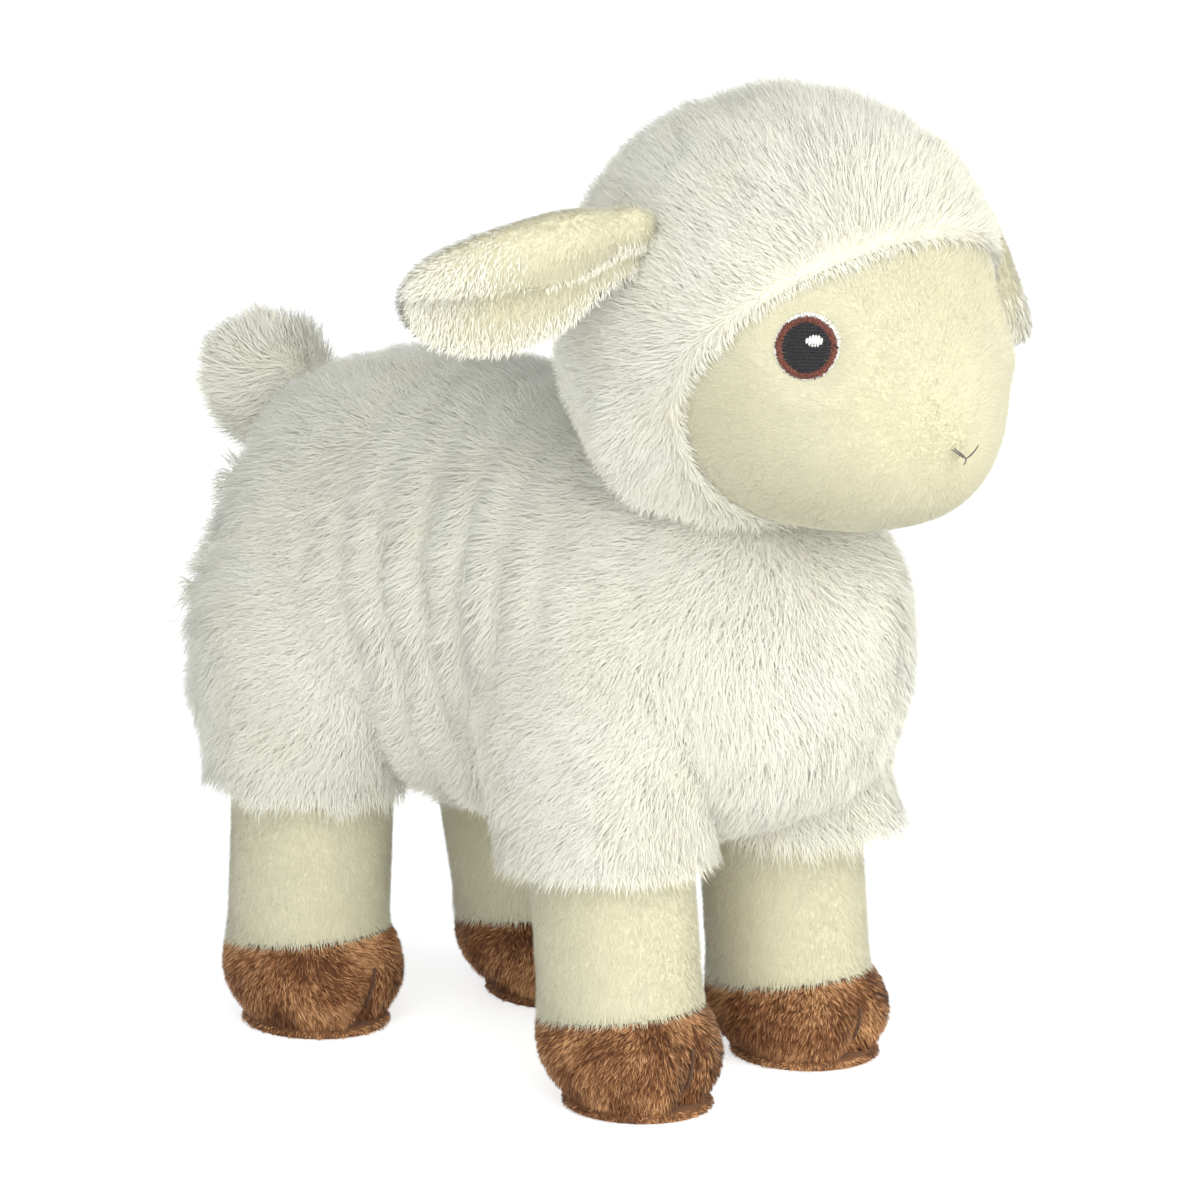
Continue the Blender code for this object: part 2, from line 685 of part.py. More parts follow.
def head():
    """Hood, face patch and stuffing, cut clear of the torso below them."""
    holder = empty_at("head_joint", NECK_AT, None, math.radians(HEAD_TURN_DEGREES))
    neck_cut = cutter("head_neck_hollow", neck_ball(SOCKET_CLEARANCE), holder)
    hollow = cutter("head_hollow", head_shape(-FACE_THICKNESS), holder)
    outside = face_edge(GAP / 2, holder, "hood_edge")
    inside = face_edge(-GAP / 2, holder, "face_edge")
    torso_clear = cutter("torso_clearance", torso_shape(HEAD_CLEARANCE))
    hood = piece("head_hood", head_shape(HOOD_PILE), "fleece", holder)
    cut(hood, [hollow, outside, neck_cut, torso_clear])
    face = piece("face_panel", head_shape(0), "short_pile", holder)
    cut(face, [hollow])
    cut(face, [inside], "INTERSECT")
    cut(face, [torso_clear])
    filling = piece("head_filling", head_shape(-FACE_THICKNESS - GAP), "stuffing", holder)
    cut(filling, [neck_cut, torso_clear])
    eyes(holder)
    nose(holder)
    ears(holder)


def surface_frame(form, place, turn, lift):
    """A matrix at a point of a form: Z out of its surface, Y up it, lifted off it."""
    here = form_points(form, np.array(place), np.array(turn))
    further = form_points(form, np.array(place + NEAR_SHARE), np.array(turn))
    beside = form_points(form, np.array(place), np.array(turn + NEAR_SHARE))
    outward = Vector(np.cross(further - here, beside - here)).normalized()
    middle = Vector(form["centre"])
    if outward.dot(Vector(here) - middle) < 0:
        outward.negate()
    across = Vector((0, 0, 1)).cross(outward).normalized()
    upward = outward.cross(across)
    frame = Matrix((across, upward, outward)).transposed().to_4x4()
    frame.translation = Vector(here) + outward * lift
    return frame


def placed(shape, frame):
    """The same shape, moved by a matrix."""
    vertices, faces = shape
    return [tuple(frame @ Vector(vertex)) for vertex in vertices], faces


def dished(x, y, height):
    """A point of a patch that follows the curve of the face."""
    return np.stack([x, y, height - (x**2 + y**2) / (2 * DISH_RADIUS)], axis=-1)


def thread_ring(outer, inner):
    """A flat ring of satin stitch."""
    turn = 2 * math.pi * np.arange(EYE_SEGMENTS) / EYE_SEGMENTS
    rings = []
    high = THREAD_THICKNESS
    for radius, height in ((outer, 0), (outer, high), (inner, high), (inner, 0)):
        rings.append(dished(radius * np.cos(turn), radius * np.sin(turn), height))
    return ring_body(np.array(rings))


def thread_disc(radius, low, high):
    """A flat disc of satin stitch, a little domed."""
    turn = 2 * math.pi * np.arange(EYE_SEGMENTS) / EYE_SEGMENTS
    x = radius * np.cos(turn)
    y = radius * np.sin(turn)
    rings = np.array([dished(x, y, low), dished(x, y, high)])
    dome = (high - low) * EDGE_SHARE
    return closed_form(rings, (0, 0, low), (0, 0, high + dome))


def eyes(holder):
    """Each eye is four patches of thread, one inside another."""
    for name, side in (("right", -1), ("left", 1)):
        angle = math.radians(EYE_ANGLE_DEGREES)
        turn = angle if side > 0 else math.pi - angle
        frame = surface_frame(HEAD, EYE_PLACE_SHARE, turn, GAP)
        outline = thread_ring(EYE_OUTLINE_RADIUS, EYE_RING_RADIUS)
        piece(name + "_eye_outline", placed(outline, frame), "white_thread", holder)
        iris = thread_ring(EYE_RING_RADIUS - GAP, EYE_PUPIL_RADIUS)
        piece(name + "_eye_iris", placed(iris, frame), "brown_thread", holder)
        pupil = thread_disc(EYE_PUPIL_RADIUS - GAP, 0, THREAD_THICKNESS)
        piece(name + "_eye_pupil", placed(pupil, frame), "black_thread", holder)
        across, upward = (share * EYE_PUPIL_RADIUS for share in HIGHLIGHT_PLACE_SHARES)
        top = THREAD_THICKNESS * (1 + EDGE_SHARE) + GAP
        spot = frame @ Matrix.Translation((across, upward, top))
        light = thread_disc(EYE_HIGHLIGHT_RADIUS, 0, THREAD_THICKNESS)
        piece(name + "_eye_highlight", placed(light, spot), "white_thread", holder)


def nose(holder):
    """A small Y of thread, as one flat outline with three arms."""
    half = THREAD_THICKNESS / 2
    arm = NOSE_WIDTH / 2
    slope = NOSE_HEIGHT / arm
    outline = [
        (-arm, NOSE_HEIGHT - half),
        (-half, -half * slope),
        (-half, -NOSE_STEM),
        (half, -NOSE_STEM),
        (half, -half * slope),
        (arm, NOSE_HEIGHT - half),
        (arm - half, NOSE_HEIGHT + half),
        (0, half + half),
        (half - arm, NOSE_HEIGHT + half),
    ]
    frame = surface_frame(HEAD, NOSE_PLACE_SHARE, -math.pi / 2, GAP)
    points = np.array(outline)
    low = dished(points[:, 0], points[:, 1], 0)
    high = dished(points[:, 0], points[:, 1], THREAD_THICKNESS)
    count = len(outline)
    vertices = [tuple(point) for point in np.concatenate([low, high])]
    faces = [tuple(range(count)), tuple(range(2 * count - 1, count - 1, -1))]
    for corner in range(count):
        beside = (corner + 1) % count
        faces.append((corner, beside, count + beside, count + corner))
    piece("nose_stitch", placed((vertices, faces), frame), "grey_thread", holder)


def ear_half_width(distance):
    """An ear's half width at a distance from its root: round at the root and at the tip."""
    widest = EAR_LENGTH * EAR_WIDEST_SHARE
    grown = np.clip((distance - EAR_ROOT_RADIUS) / (widest - EAR_ROOT_RADIUS), 0, 1)
    ease = np.sin(math.pi / 2 * grown) ** EAR_SHOULDER_POWER
    body = EAR_ROOT_RADIUS + (EAR_WIDTH / 2 - EAR_ROOT_RADIUS) * ease
    at_root = np.clip(1 - distance / EAR_ROOT_RADIUS, 0, 1)
    at_tip = np.clip((distance - widest) / (EAR_LENGTH - widest), 0, 1)
    return body * np.sqrt(1 - at_root**2) * np.sqrt(1 - at_tip**2)


def ear_sag(distance):
    """How far an ear's middle lies below its straight upper edge's level at a distance."""
    share = np.clip((distance - EAR_ROOT_RADIUS) / (EAR_LENGTH - EAR_ROOT_RADIUS), 0, 1)
    return EAR_SAG_SHARE * (EAR_WIDTH / 2 - EAR_ROOT_RADIUS) * np.sin(math.pi / 2 * share)


def ear_fold(distance, across):
    """How far an ear's middle surface stands back from its edges, deepest near the root."""
    share = distance / EAR_LENGTH
    depth = EAR_FOLD_DEPTH * (1 - share) ** EAR_FOLD_POWER
    return -depth * np.exp(-((across / (EAR_WIDTH * EAR_FOLD_WIDTH_SHARE)) ** 2))


def ear_leaf_shape(side, lift):
    """One leaf of an ear: a thin lens bent along the fold, out along X from its hinge."""
    steps = (1 - np.cos(math.pi * np.arange(1, EAR_RINGS + 1) / (EAR_RINGS + 1))) / 2
    distance = (EAR_LENGTH * steps)[:, None]
    turn = (2 * math.pi * np.arange(EAR_SEGMENTS) / EAR_SEGMENTS)[None, :]
    across = ear_half_width(distance) * np.cos(turn)
    thick = EAR_LEAF_THICKNESS / 2 * np.sin(turn) * np.sqrt(np.sin(math.pi * steps))[:, None]
    forward = ear_fold(distance, across) + thick + lift
    out = side * (distance - EAR_ROOT_RADIUS) + 0 * across
    sag = ear_sag(distance)
    rings = np.stack([out, -forward, across - sag], axis=-1)
    ends = []
    for far in (0, EAR_LENGTH):
        bend = ear_fold(far, 0.0) + lift
        ends.append((side * (far - EAR_ROOT_RADIUS), -bend, -ear_sag(far)))
    return closed_form(rings, *ends)


def ear_tack_shape(side):
    """A stitch across the fold near the root."""
    radius = THREAD_THICKNESS / 2
    distance = EAR_ROOT_RADIUS * EAR_TACK_PLACE_SHARE
    reach = EAR_ROOT_RADIUS * EDGE_SHARE
    clear = EAR_LEAF_THICKNESS + STUFFING_GAP + radius
    points = []
    for across in np.linspace(-reach, reach, THREAD_POINTS):
        forward = ear_fold(distance, across) + clear
        points.append((side * (distance - EAR_ROOT_RADIUS), -forward, across - ear_sag(distance)))
    return rod(points, radius)


def ears(holder):
    """Each ear stands just clear of the hood, on a hinge at the middle of its round root."""
    for name, side, pose in (
        ("right", -1, RIGHT_EAR_POSE_DEGREES),
        ("left", 1, LEFT_EAR_POSE_DEGREES),
    ):
        angle = math.radians(EAR_ANGLE_DEGREES)
        turn = angle if side > 0 else math.pi - angle
        reach = HOOD_PILE + EAR_ROOT_RADIUS + EAR_CLEARANCE
        hinge = surface_frame(HEAD, EAR_PLACE_SHARE, turn, reach).translation
        sweep, droop = (math.radians(degrees) for degrees in pose)
        facing = math.radians(EAR_FACING_DEGREES)
        hinge_holder = empty_at(name + "_ear_hinge", hinge, holder)
        aim = (
            Matrix.Rotation(side * sweep, 4, "Z")
            @ Matrix.Rotation(side * droop, 4, "Y")
            @ Matrix.Rotation(facing, 4, "X")
        )
        lift = EAR_LEAF_THICKNESS / 2 + GAP
        back = ear_leaf_shape(side, -lift)
        piece(name + "_ear_back", placed(back, aim), "short_pile", hinge_holder)
        front = ear_leaf_shape(side, lift)
        piece(name + "_ear_front", placed(front, aim), "short_pile", hinge_holder)
        tack = ear_tack_shape(side)
        piece(name + "_ear_tack", placed(tack, aim), "white_thread", hinge_holder)


def tail_rings(grow):
    """Rings of the tail from its root, along +Y before it is pitched."""
    steps = np.sin(math.pi / 2 * np.arange(TAIL_RINGS) / TAIL_RINGS)
    cap = np.sqrt(1 - steps**TAIL_END_POWER)
    radius = (TAIL_RADIUS * along(TAIL_RADIUS_SHARES, steps) * cap + grow * cap)[:, None]
    turn = (2 * math.pi * np.arange(TAIL_SEGMENTS) / TAIL_SEGMENTS)[None, :]
    y = (steps * (TAIL_LENGTH + grow))[:, None] + 0 * turn
    return np.stack([radius * np.cos(turn), y, radius * np.sin(turn)], axis=-1)


def tail():
    """A fluffy pear on its root, with a skin that is open where it is sewn on."""
    root = surface_frame(TORSO, TAIL_PLACE_SHARE, math.pi / 2, TAIL_CLEARANCE)
    outward = root.to_3x3().col[2]
    lean = Matrix.Rotation(math.atan2(outward.z, outward.y), 4, "X")
    holder = empty_at("tail_joint", root.translation)
    outer = tail_rings(0)
    inner = tail_rings(-FLEECE_THICKNESS)
    outer_tip = (0, TAIL_LENGTH, 0)
    inner_tip = (0, TAIL_LENGTH - FLEECE_THICKNESS, 0)
    skin = thimble(outer, outer_tip, inner, inner_tip)
    piece("tail_skin", placed(skin, lean), "fleece", holder)
    rings = tail_rings(-FLEECE_THICKNESS - GAP)
    filling = closed_form(rings, (0, 0, 0), (0, TAIL_LENGTH - FLEECE_THICKNESS - GAP, 0))
    piece("tail_filling", placed(filling, lean), "stuffing", holder)


def centre_part():
    """Moves the whole part so that its box stands centred on the origin."""
    bpy.context.view_layer.update()
    depsgraph = bpy.context.evaluated_depsgraph_get()
    corners = []
    for thing in bpy.data.objects:
        if thing.type != "MESH" or thing.hide_render:
            continue
        shown = thing.evaluated_get(depsgraph)
        corners += [shown.matrix_world @ vertex.co for vertex in shown.data.vertices]
    low = np.min(corners, axis=0)
    high = np.max(corners, axis=0)
    shift = Vector((-(low[0] + high[0]) / 2, -(low[1] + high[1]) / 2, -low[2]))
    for thing in bpy.data.objects:
        if thing.parent is None:
            thing.location = thing.location + shift


def main():
    for old in list(bpy.data.objects):
        bpy.data.objects.remove(old, do_unlink=True)
    legs = (
        ("front_right", -1, FRONT_RIGHT_HIP_SHARE, FRONT_RIGHT_STANCE),
        ("front_left", 1, FRONT_LEFT_HIP_SHARE, FRONT_LEFT_STANCE),
        ("hind_right", -1, HIND_RIGHT_HIP_SHARE, HIND_RIGHT_STANCE),
        ("hind_left", 1, HIND_LEFT_HIP_SHARE, HIND_LEFT_STANCE),
    )
    torso([leg(*values) for values in legs])
    neck()
    head()
    tail()
    centre_part()


main()
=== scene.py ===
import itertools
import json
import math

import bpy
import numpy as np
from mathutils import Matrix, Vector


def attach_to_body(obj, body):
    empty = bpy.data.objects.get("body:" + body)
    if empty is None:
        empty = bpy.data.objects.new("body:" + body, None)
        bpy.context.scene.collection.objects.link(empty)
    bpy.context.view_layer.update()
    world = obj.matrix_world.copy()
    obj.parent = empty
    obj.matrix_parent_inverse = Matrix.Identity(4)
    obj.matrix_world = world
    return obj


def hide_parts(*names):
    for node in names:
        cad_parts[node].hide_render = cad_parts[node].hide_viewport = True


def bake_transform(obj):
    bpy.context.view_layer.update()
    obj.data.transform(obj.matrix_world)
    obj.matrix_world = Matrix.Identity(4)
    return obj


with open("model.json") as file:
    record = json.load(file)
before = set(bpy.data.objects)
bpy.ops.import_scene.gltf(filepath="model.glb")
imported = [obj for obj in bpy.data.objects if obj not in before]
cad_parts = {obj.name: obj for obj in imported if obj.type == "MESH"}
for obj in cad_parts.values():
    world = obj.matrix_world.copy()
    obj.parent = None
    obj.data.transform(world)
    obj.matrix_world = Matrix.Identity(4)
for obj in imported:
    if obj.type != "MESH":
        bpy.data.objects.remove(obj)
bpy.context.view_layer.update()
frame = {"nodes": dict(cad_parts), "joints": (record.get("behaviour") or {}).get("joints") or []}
jointAt = {joint["name"]: np.array(joint["pos_m"]) for joint in frame["joints"]}
jointAxis = {joint["name"]: np.array(joint["axis"]) for joint in frame["joints"]}
print("frame loaded")

millimetre = 0.001

# The sewn forms, in metres and in the same sizes as the solids.
# Shares run from a form's rear to its front.
torsoSize = {
    "length": 0.176,
    "width": 0.084,
    "height": 0.101,
    "bellyHeight": 0.0555,
    "widthShares": (0.96, 1.0, 0.96, 1.0, 1.02),
    "heightShares": (0.96, 1.0, 1.0, 0.95, 0.88),
    "riseShares": (0.05, 0.015, 0.0, 0.0, -0.01),
    "endPower": 3.0,
    "sidePower": 2.3,
    "neckPlaceShare": 0.781,
}
headSize = {
    "length": 0.112,
    "width": 0.082,
    "height": 0.091,
    "aboveNeck": 0.048,
    "aheadOfNeck": 0.0235,
    "widthShares": (0.98, 1.02, 1.02, 0.98, 0.84),
    "heightShares": (1.0, 1.04, 1.0, 0.97, 0.86),
    "riseShares": (-0.07, -0.03, 0.01, -0.03, -0.17),
    "endPower": 2.2,
    "sidePower": 2.1,
}
faceEdgeSize = {"width": 0.122, "length": 0.146, "height": 0.087, "aheadShare": 0.54, "dropShare": 0.17}
legSize = {
    "hipRadius": 0.0315,
    "hipWidth": 0.047,
    "hipHeight": 0.085,
    "hemHeight": 0.0585,
    "hemGrow": 0.0054,
    "shinWidth": 0.0368,
    "shinLength": 0.0394,
    "shinTuck": 0.005,
    "bulge": 0.0018,
    "bulgeEndShare": 0.9,
    "drawIn": 0.0032,
    "drawInPower": 4,
    "rimTilt": 0.0023,
    "toeReach": 0.0032,
    "cleftDepth": 0.0045,
    "cleftDegrees": 17.0,
    "soleThickness": 0.002,
    "soleFlange": 0.0008,
}
# Each leg: its side, how far outward and forward its foot stands, and its hoof's height
legs = {
    "front_right": (-1, 0.0, 0.0075, 0.0217),
    "front_left": (1, 0.0015, 0.006, 0.0185),
    "hind_right": (-1, 0.001, -0.003, 0.0213),
    "hind_left": (1, 0.0, 0.018, 0.019),
}
earSize = {
    "length": 0.063,
    "width": 0.036,
    "rootRadius": 0.009,
    "foldDepth": 0.0075,
    "widestShare": 0.5,
    "sagShare": 0.8,
    "shoulderPower": 1.5,
    "foldWidthShare": 0.25,
    "foldPower": 0.8,
    "facingDegrees": 18.0,
}
# Side, sweep and droop in degrees, and where the upper part folds over, as a share of half the width
ears = {"right": (-1, 13.0, -2.0, 0.42), "left": (1, 26.0, 44.0, -0.2)}
tailSize = {
    "length": 0.027,
    "radius": 0.0148,
    "skinShares": (0.62, 0.85, 1.0, 1.02, 0.92),
    "endPower": 3.0,
}
# How far each skin, and the inside of each double one, lies under the outer face of its solid
fleeceDepth = 0.0034
shortDepth = 0.0008
insideDepth = {"shin": 0.0014, "hoof": 0.0015, "face": 0.0016}
# Where the random draws of each kind of piece start. Legs, ears and eyes add a number of their own.
seeds = {
    "eye": 7,
    "earRim": 5,
    "torsoPile": 11,
    "trouserPile": 20,
    "shinPile": 30,
    "hoofPile": 40,
    "solePile": 50,
    "hoodPile": 61,
    "facePile": 71,
    "earRimPile": 80,
    "tailPile": 90,
    "earPile": 100,
}


# A smooth curve through evenly spaced shares, each span a cubic that meets its neighbours' slopes
def along(shares, place):
    values = np.array(shares)
    padded = np.concatenate([[2 * values[0] - values[1]], values, [2 * values[-1] - values[-2]]])
    at = np.clip(place, 0, 1) * (len(values) - 1)
    low = np.minimum(np.asarray(at).astype(int), len(values) - 2)
    t = at - low
    before, start, end, after = (padded[low + step] for step in range(4))
    bend = 2 * before - 5 * start + 4 * end - after
    twist = 3 * start - before - 3 * end + after
    return 0.5 * (2 * start + (end - before) * t + bend * t**2 + twist * t**3)


# Rises evenly from 0 at the start to 1 at the end, or falls where the end is the lower one
def ramp(values, start, end):
    return np.clip((values - start) / (end - start), 0, 1)


# A bell curve: 1 at zero, falling off over the width to both sides
def bell(values, width=1.0):
    return np.exp(-((values / width) ** 2))


def roundTurn(count):
    return 2 * math.pi * np.arange(count) / count


# Closes in, by halving, on the place between low and high where a test that held holds no more
def closeIn(low, high, holds, halvings):
    for _ in range(halvings):
        middle = (low + high) / 2
        held = holds(middle)
        low = np.where(held, middle, low)
        high = np.where(held, high, middle)
    return low, high


def placeForm(size, centre, origin, turnMatrix):
    form = dict(size)
    form.update(centre=np.array(centre), origin=np.array(origin), matrix=np.array(turnMatrix))
    return form


# Half sizes and rise of a soft form at a place: the end cap is a superellipse of the place
def formLevel(form, place, grow):
    cap = np.abs(1 - np.abs(2 * place - 1) ** form["endPower"]) ** (1 / form["endPower"])
    halfWidth = cap * (form["width"] / 2 * along(form["widthShares"], place) + grow)
    halfHeight = cap * (form["height"] / 2 * along(form["heightShares"], place) + grow)
    rise = form["height"] * along(form["riseShares"], place)
    return halfWidth, halfHeight, rise


# A point is the level's half sizes times the superellipse of the turn, moved along the form's length
def formPoints(form, place, turn, grow):
    halfWidth, halfHeight, rise = formLevel(form, place, grow)
    power = 2 / form["sidePower"]
    across = np.sign(np.cos(turn)) * np.abs(np.cos(turn)) ** power
    upward = np.sign(np.sin(turn)) * np.abs(np.sin(turn)) ** power
    forward = (1 - 2 * place) * (form["length"] / 2 + grow)
    x = halfWidth * across
    local = np.stack([x, forward + 0 * x, rise + halfHeight * upward], axis=-1) + form["centre"]
    return local @ form["matrix"].T + form["origin"]


# How deep points lie in a form: the superellipse's own sum, which is 1 on its surface and less inside
def formDepth(form, points, grow):
    farOut = 9.0  # stands for any place beyond the form's ends
    endGap = 0.0005  # keeps the sum from the ends' zero size
    local = (points - form["origin"]) @ form["matrix"] - form["centre"]
    place = 0.5 - local[..., 1] / (form["length"] + 2 * grow)
    beyond = np.abs(place - 0.5) >= 0.5
    halfWidth, halfHeight, rise = formLevel(form, np.clip(place, endGap, 1 - endGap), grow)
    power = form["sidePower"]
    level = np.abs(local[..., 0] / halfWidth) ** power
    level = level + np.abs((local[..., 2] - rise) / halfHeight) ** power
    return np.where(beyond, farOut, level)


torsoOrigin = jointAt["head_turn"] * (1, 1, 0)
torsoOrigin[1] -= torsoSize["length"] / 2 - torsoSize["neckPlaceShare"] * torsoSize["length"]
torsoMiddle = torsoSize["bellyHeight"] + torsoSize["height"] / 2
torso = placeForm(torsoSize, (0, 0, torsoMiddle), torsoOrigin, np.eye(3))
headX = jointAxis["head_nod"]
headY = np.cross((0, 0, 1), headX)
headMatrix = np.stack([headX, headY, (0, 0, 1)], axis=1)
neckAt = jointAt["head_nod"]
head = placeForm(headSize, (0, -headSize["aheadOfNeck"], headSize["aboveNeck"]), neckAt, headMatrix)
headMiddle = neckAt + headMatrix @ head["centre"]


def toHead(points):
    return (points - neckAt) @ headMatrix


# A ring of a leg at a height over the floor: an ellipse that shifts with the leg's slant,
# with a notch in front whose depth falls off as a bell curve, and a rim tilted up in front
def legRing(name, height, halfWidth, halfLength, turn, cleft=0, ahead=0, tilt=0):
    side, outward, forward, _ = legs[name]
    share = 1 - height / legSize["hipHeight"]
    fromFront = np.abs((turn + 1.5 * math.pi) % (2 * math.pi) - math.pi)
    notch = 1 - cleft / halfLength * bell(fromFront, math.radians(legSize["cleftDegrees"]))
    hip = jointAt[name + "_hip"]
    x = hip[0] + side * outward * share + halfWidth * np.cos(turn) * notch
    y = hip[1] - forward * share - ahead + halfLength * np.sin(turn) * notch
    z = height - tilt * np.sin(turn) + 0 * x
    return np.stack([x, y, z], axis=-1)


# The trouser's half sizes ease from the hip's to the hem's as half a cosine wave of the fall
def sleeveHalves(height, grow):
    ease = (1 - np.cos(math.pi * ramp(height, legSize["hipHeight"], legSize["hemHeight"]))) / 2
    hemWidth = legSize["shinWidth"] / 2 + legSize["hemGrow"]
    hemLength = legSize["shinLength"] / 2 + legSize["hemGrow"]
    halfWidth = legSize["hipWidth"] / 2 * (1 - ease) + hemWidth * ease + grow
    halfLength = legSize["hipRadius"] * (1 - ease) + hemLength * ease + grow
    return halfWidth, halfLength


# The sum of squares of the hip's ellipsoid above its axis, or of the sleeve's ellipse below it
def legDepth(name, points, grow):
    side, outward, forward, _ = legs[name]
    local = points - jointAt[name + "_hip"]
    halfWidth = legSize["hipWidth"] / 2 + grow
    radius = legSize["hipRadius"] + grow
    dome = (local[..., 0] / halfWidth) ** 2 + (local[..., 1] ** 2 + local[..., 2] ** 2) / radius**2
    share = -local[..., 2] / legSize["hipHeight"]
    sleeveWidth, sleeveLength = sleeveHalves(points[..., 2], grow)
    sleeve = ((local[..., 0] - side * outward * share) / sleeveWidth) ** 2
    sleeve = sleeve + ((local[..., 1] + forward * share) / sleeveLength) ** 2
    return np.where(local[..., 2] > 0, dome, sleeve)


# Random values at the corners of a cubic lattice, eased between them, from 0 to 1. The large
# numbers only mix the bits of a corner's place.
def smoothNoise(points, scale, seed):
    at = points / scale + seed * 7.31
    cell = np.floor(at).astype(np.int64)
    part = at - cell
    ease = part * part * (3 - 2 * part)
    total = np.zeros(points.shape[:-1])
    for corner in itertools.product((0, 1), repeat=3):
        lattice = cell + np.array(corner)
        mixed = lattice[..., 0] * 374761393 + lattice[..., 1] * 668265263 + lattice[..., 2] * 362437
        mixed = (mixed + seed * 974711) & 0xFFFFFFFF
        mixed = ((mixed ^ (mixed >> 13)) * 1274126177) & 0xFFFFFFFF
        value = (mixed ^ (mixed >> 16)) / 0xFFFFFFFF
        weight = np.prod(np.where(np.array(corner) == 1, ease, 1 - ease), axis=-1)
        total += weight * value
    return total


# The slope of that noise, from its change over a twentieth of its scale along each axis
def noiseSlope(points, scale, seed):
    step = scale / 20
    here = smoothNoise(points, scale, seed)
    slopes = [(smoothNoise(points + step * axis, scale, seed) - here) / step for axis in np.eye(3)]
    return np.stack(slopes, axis=-1) * scale


def unit(vectors):
    least = 1e-9  # keeps a zero vector from a division by zero
    return vectors / np.maximum(np.linalg.norm(vectors, axis=-1, keepdims=True), least)


# What is left of vectors when their part along the normals is taken off
def alongSkin(vectors, normals):
    return vectors - (vectors * normals).sum(axis=1, keepdims=True) * normals


# Faces between rings of points, each ring closed on itself
def ringFaces(ringCount, segmentCount):
    ring, segment = np.meshgrid(np.arange(ringCount - 1), np.arange(segmentCount), indexing="ij")
    beside = (segment + 1) % segmentCount
    low = ring * segmentCount
    high = low + segmentCount
    quads = np.stack([low + segment, low + beside, high + beside, high + segment], axis=-1)
    return quads.reshape(-1, 4)


def tipFaces(start, segmentCount, tip):
    segment = np.arange(segmentCount)
    beside = (segment + 1) % segmentCount
    return np.stack([start + segment, start + beside, np.full(segmentCount, tip)], axis=-1)


def makeSkin(points, quads, triangles=np.zeros((0, 3), int)):
    return {"points": points, "quads": quads, "triangles": triangles}


def allTriangles(skin):
    quads = skin["quads"]
    return np.concatenate([quads[:, [0, 1, 2]], quads[:, [0, 2, 3]], skin["triangles"]])


def triangleCorners(skin):
    triangles = allTriangles(skin)
    return [skin["points"][triangles[:, corner]] for corner in range(3)]


# Turns faces outward, by the sign of the volume between them and a point
def turnedOut(skin, middle):
    a, b, c = triangleCorners(skin)
    if np.einsum("ij,ij->i", a - middle, np.cross(b - a, c - a)).sum() < 0:
        skin["quads"] = skin["quads"][:, ::-1]
        skin["triangles"] = skin["triangles"][:, ::-1]
    return skin


# A closed skin: its rings and its two tips
def closedSkin(rings, firstTip, lastTip):
    ringCount, segmentCount = rings.shape[:2]
    points = np.concatenate([rings.reshape(-1, 3), [firstTip], [lastTip]])
    first = tipFaces(0, segmentCount, len(points) - 2)[:, ::-1]
    last = tipFaces((ringCount - 1) * segmentCount, segmentCount, len(points) - 1)
    tips = np.concatenate([first, last])
    return turnedOut(makeSkin(points, ringFaces(ringCount, segmentCount), tips), 0)


# A closed tube of outer rings and, back the other way, inner ones: its last ring meets its first
def tubeSkin(outer, inner):
    rings = np.concatenate([outer, inner[::-1]])
    ringCount, segmentCount = rings.shape[:2]
    quads = ringFaces(ringCount + 1, segmentCount) % (ringCount * segmentCount)
    return turnedOut(makeSkin(rings.reshape(-1, 3), quads), 0)


# The outer rings alone, as roots for pile
def shellOf(rings):
    shell = makeSkin(rings.reshape(-1, 3), ringFaces(*rings.shape[:2]))
    return turnedOut(shell, rings.mean(axis=(0, 1)))


# Each point's normal is the sum of its triangles' cross products, made one long
def skinNormals(skin):
    triangles = allTriangles(skin)
    a, b, c = triangleCorners(skin)
    cross = np.cross(b - a, c - a)
    normals = np.zeros_like(skin["points"])
    for corner in range(3):
        np.add.at(normals, triangles[:, corner], cross)
    return unit(normals)


# Puts whole arrays of points, faces and map corners into a mesh, and the mesh on an object
def makeMesh(name, points, faceLists, material, mapCorners=None, normals=None):
    mesh = bpy.data.meshes.new(name)
    corners = np.concatenate([faces.ravel() for faces in faceLists])
    sizes = np.concatenate([np.full(len(faces), faces.shape[1]) for faces in faceLists])
    starts = np.concatenate([[0], np.cumsum(sizes)[:-1]])
    mesh.vertices.add(len(points))
    mesh.vertices.foreach_set("co", points.astype(np.float32).ravel())
    mesh.loops.add(len(corners))
    mesh.loops.foreach_set("vertex_index", corners.astype(np.int32))
    mesh.polygons.add(len(sizes))
    mesh.polygons.foreach_set("loop_start", starts.astype(np.int32))
    mesh.polygons.foreach_set("use_smooth", np.ones(len(sizes), bool))
    if mapCorners is not None:
        layer = mesh.uv_layers.new(name="OFBake")
        layer.data.foreach_set("uv", mapCorners.astype(np.float32).ravel())
    mesh.update(calc_edges=True)
    if normals is not None:
        mesh.normals_split_custom_set_from_vertices(normals.astype(np.float32))
    mesh.materials.append(material)
    made = bpy.data.objects.new(name, mesh)
    bpy.context.scene.collection.objects.link(made)
    return made


# Puts a piece on its body, or, where a bend is given, bakes its place into its points instead, and hides
# the solid that it stands for
def attach(piece, body, node=None, bend=None):
    if bend:
        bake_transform(piece)
    else:
        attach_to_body(piece, body)
    if node:
        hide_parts(node)


def sew(name, skin, material, body, node=None, bend=None):
    piece = makeMesh(name, skin["points"], [skin["quads"], skin["triangles"]], material)
    attach(piece, body, node, bend)


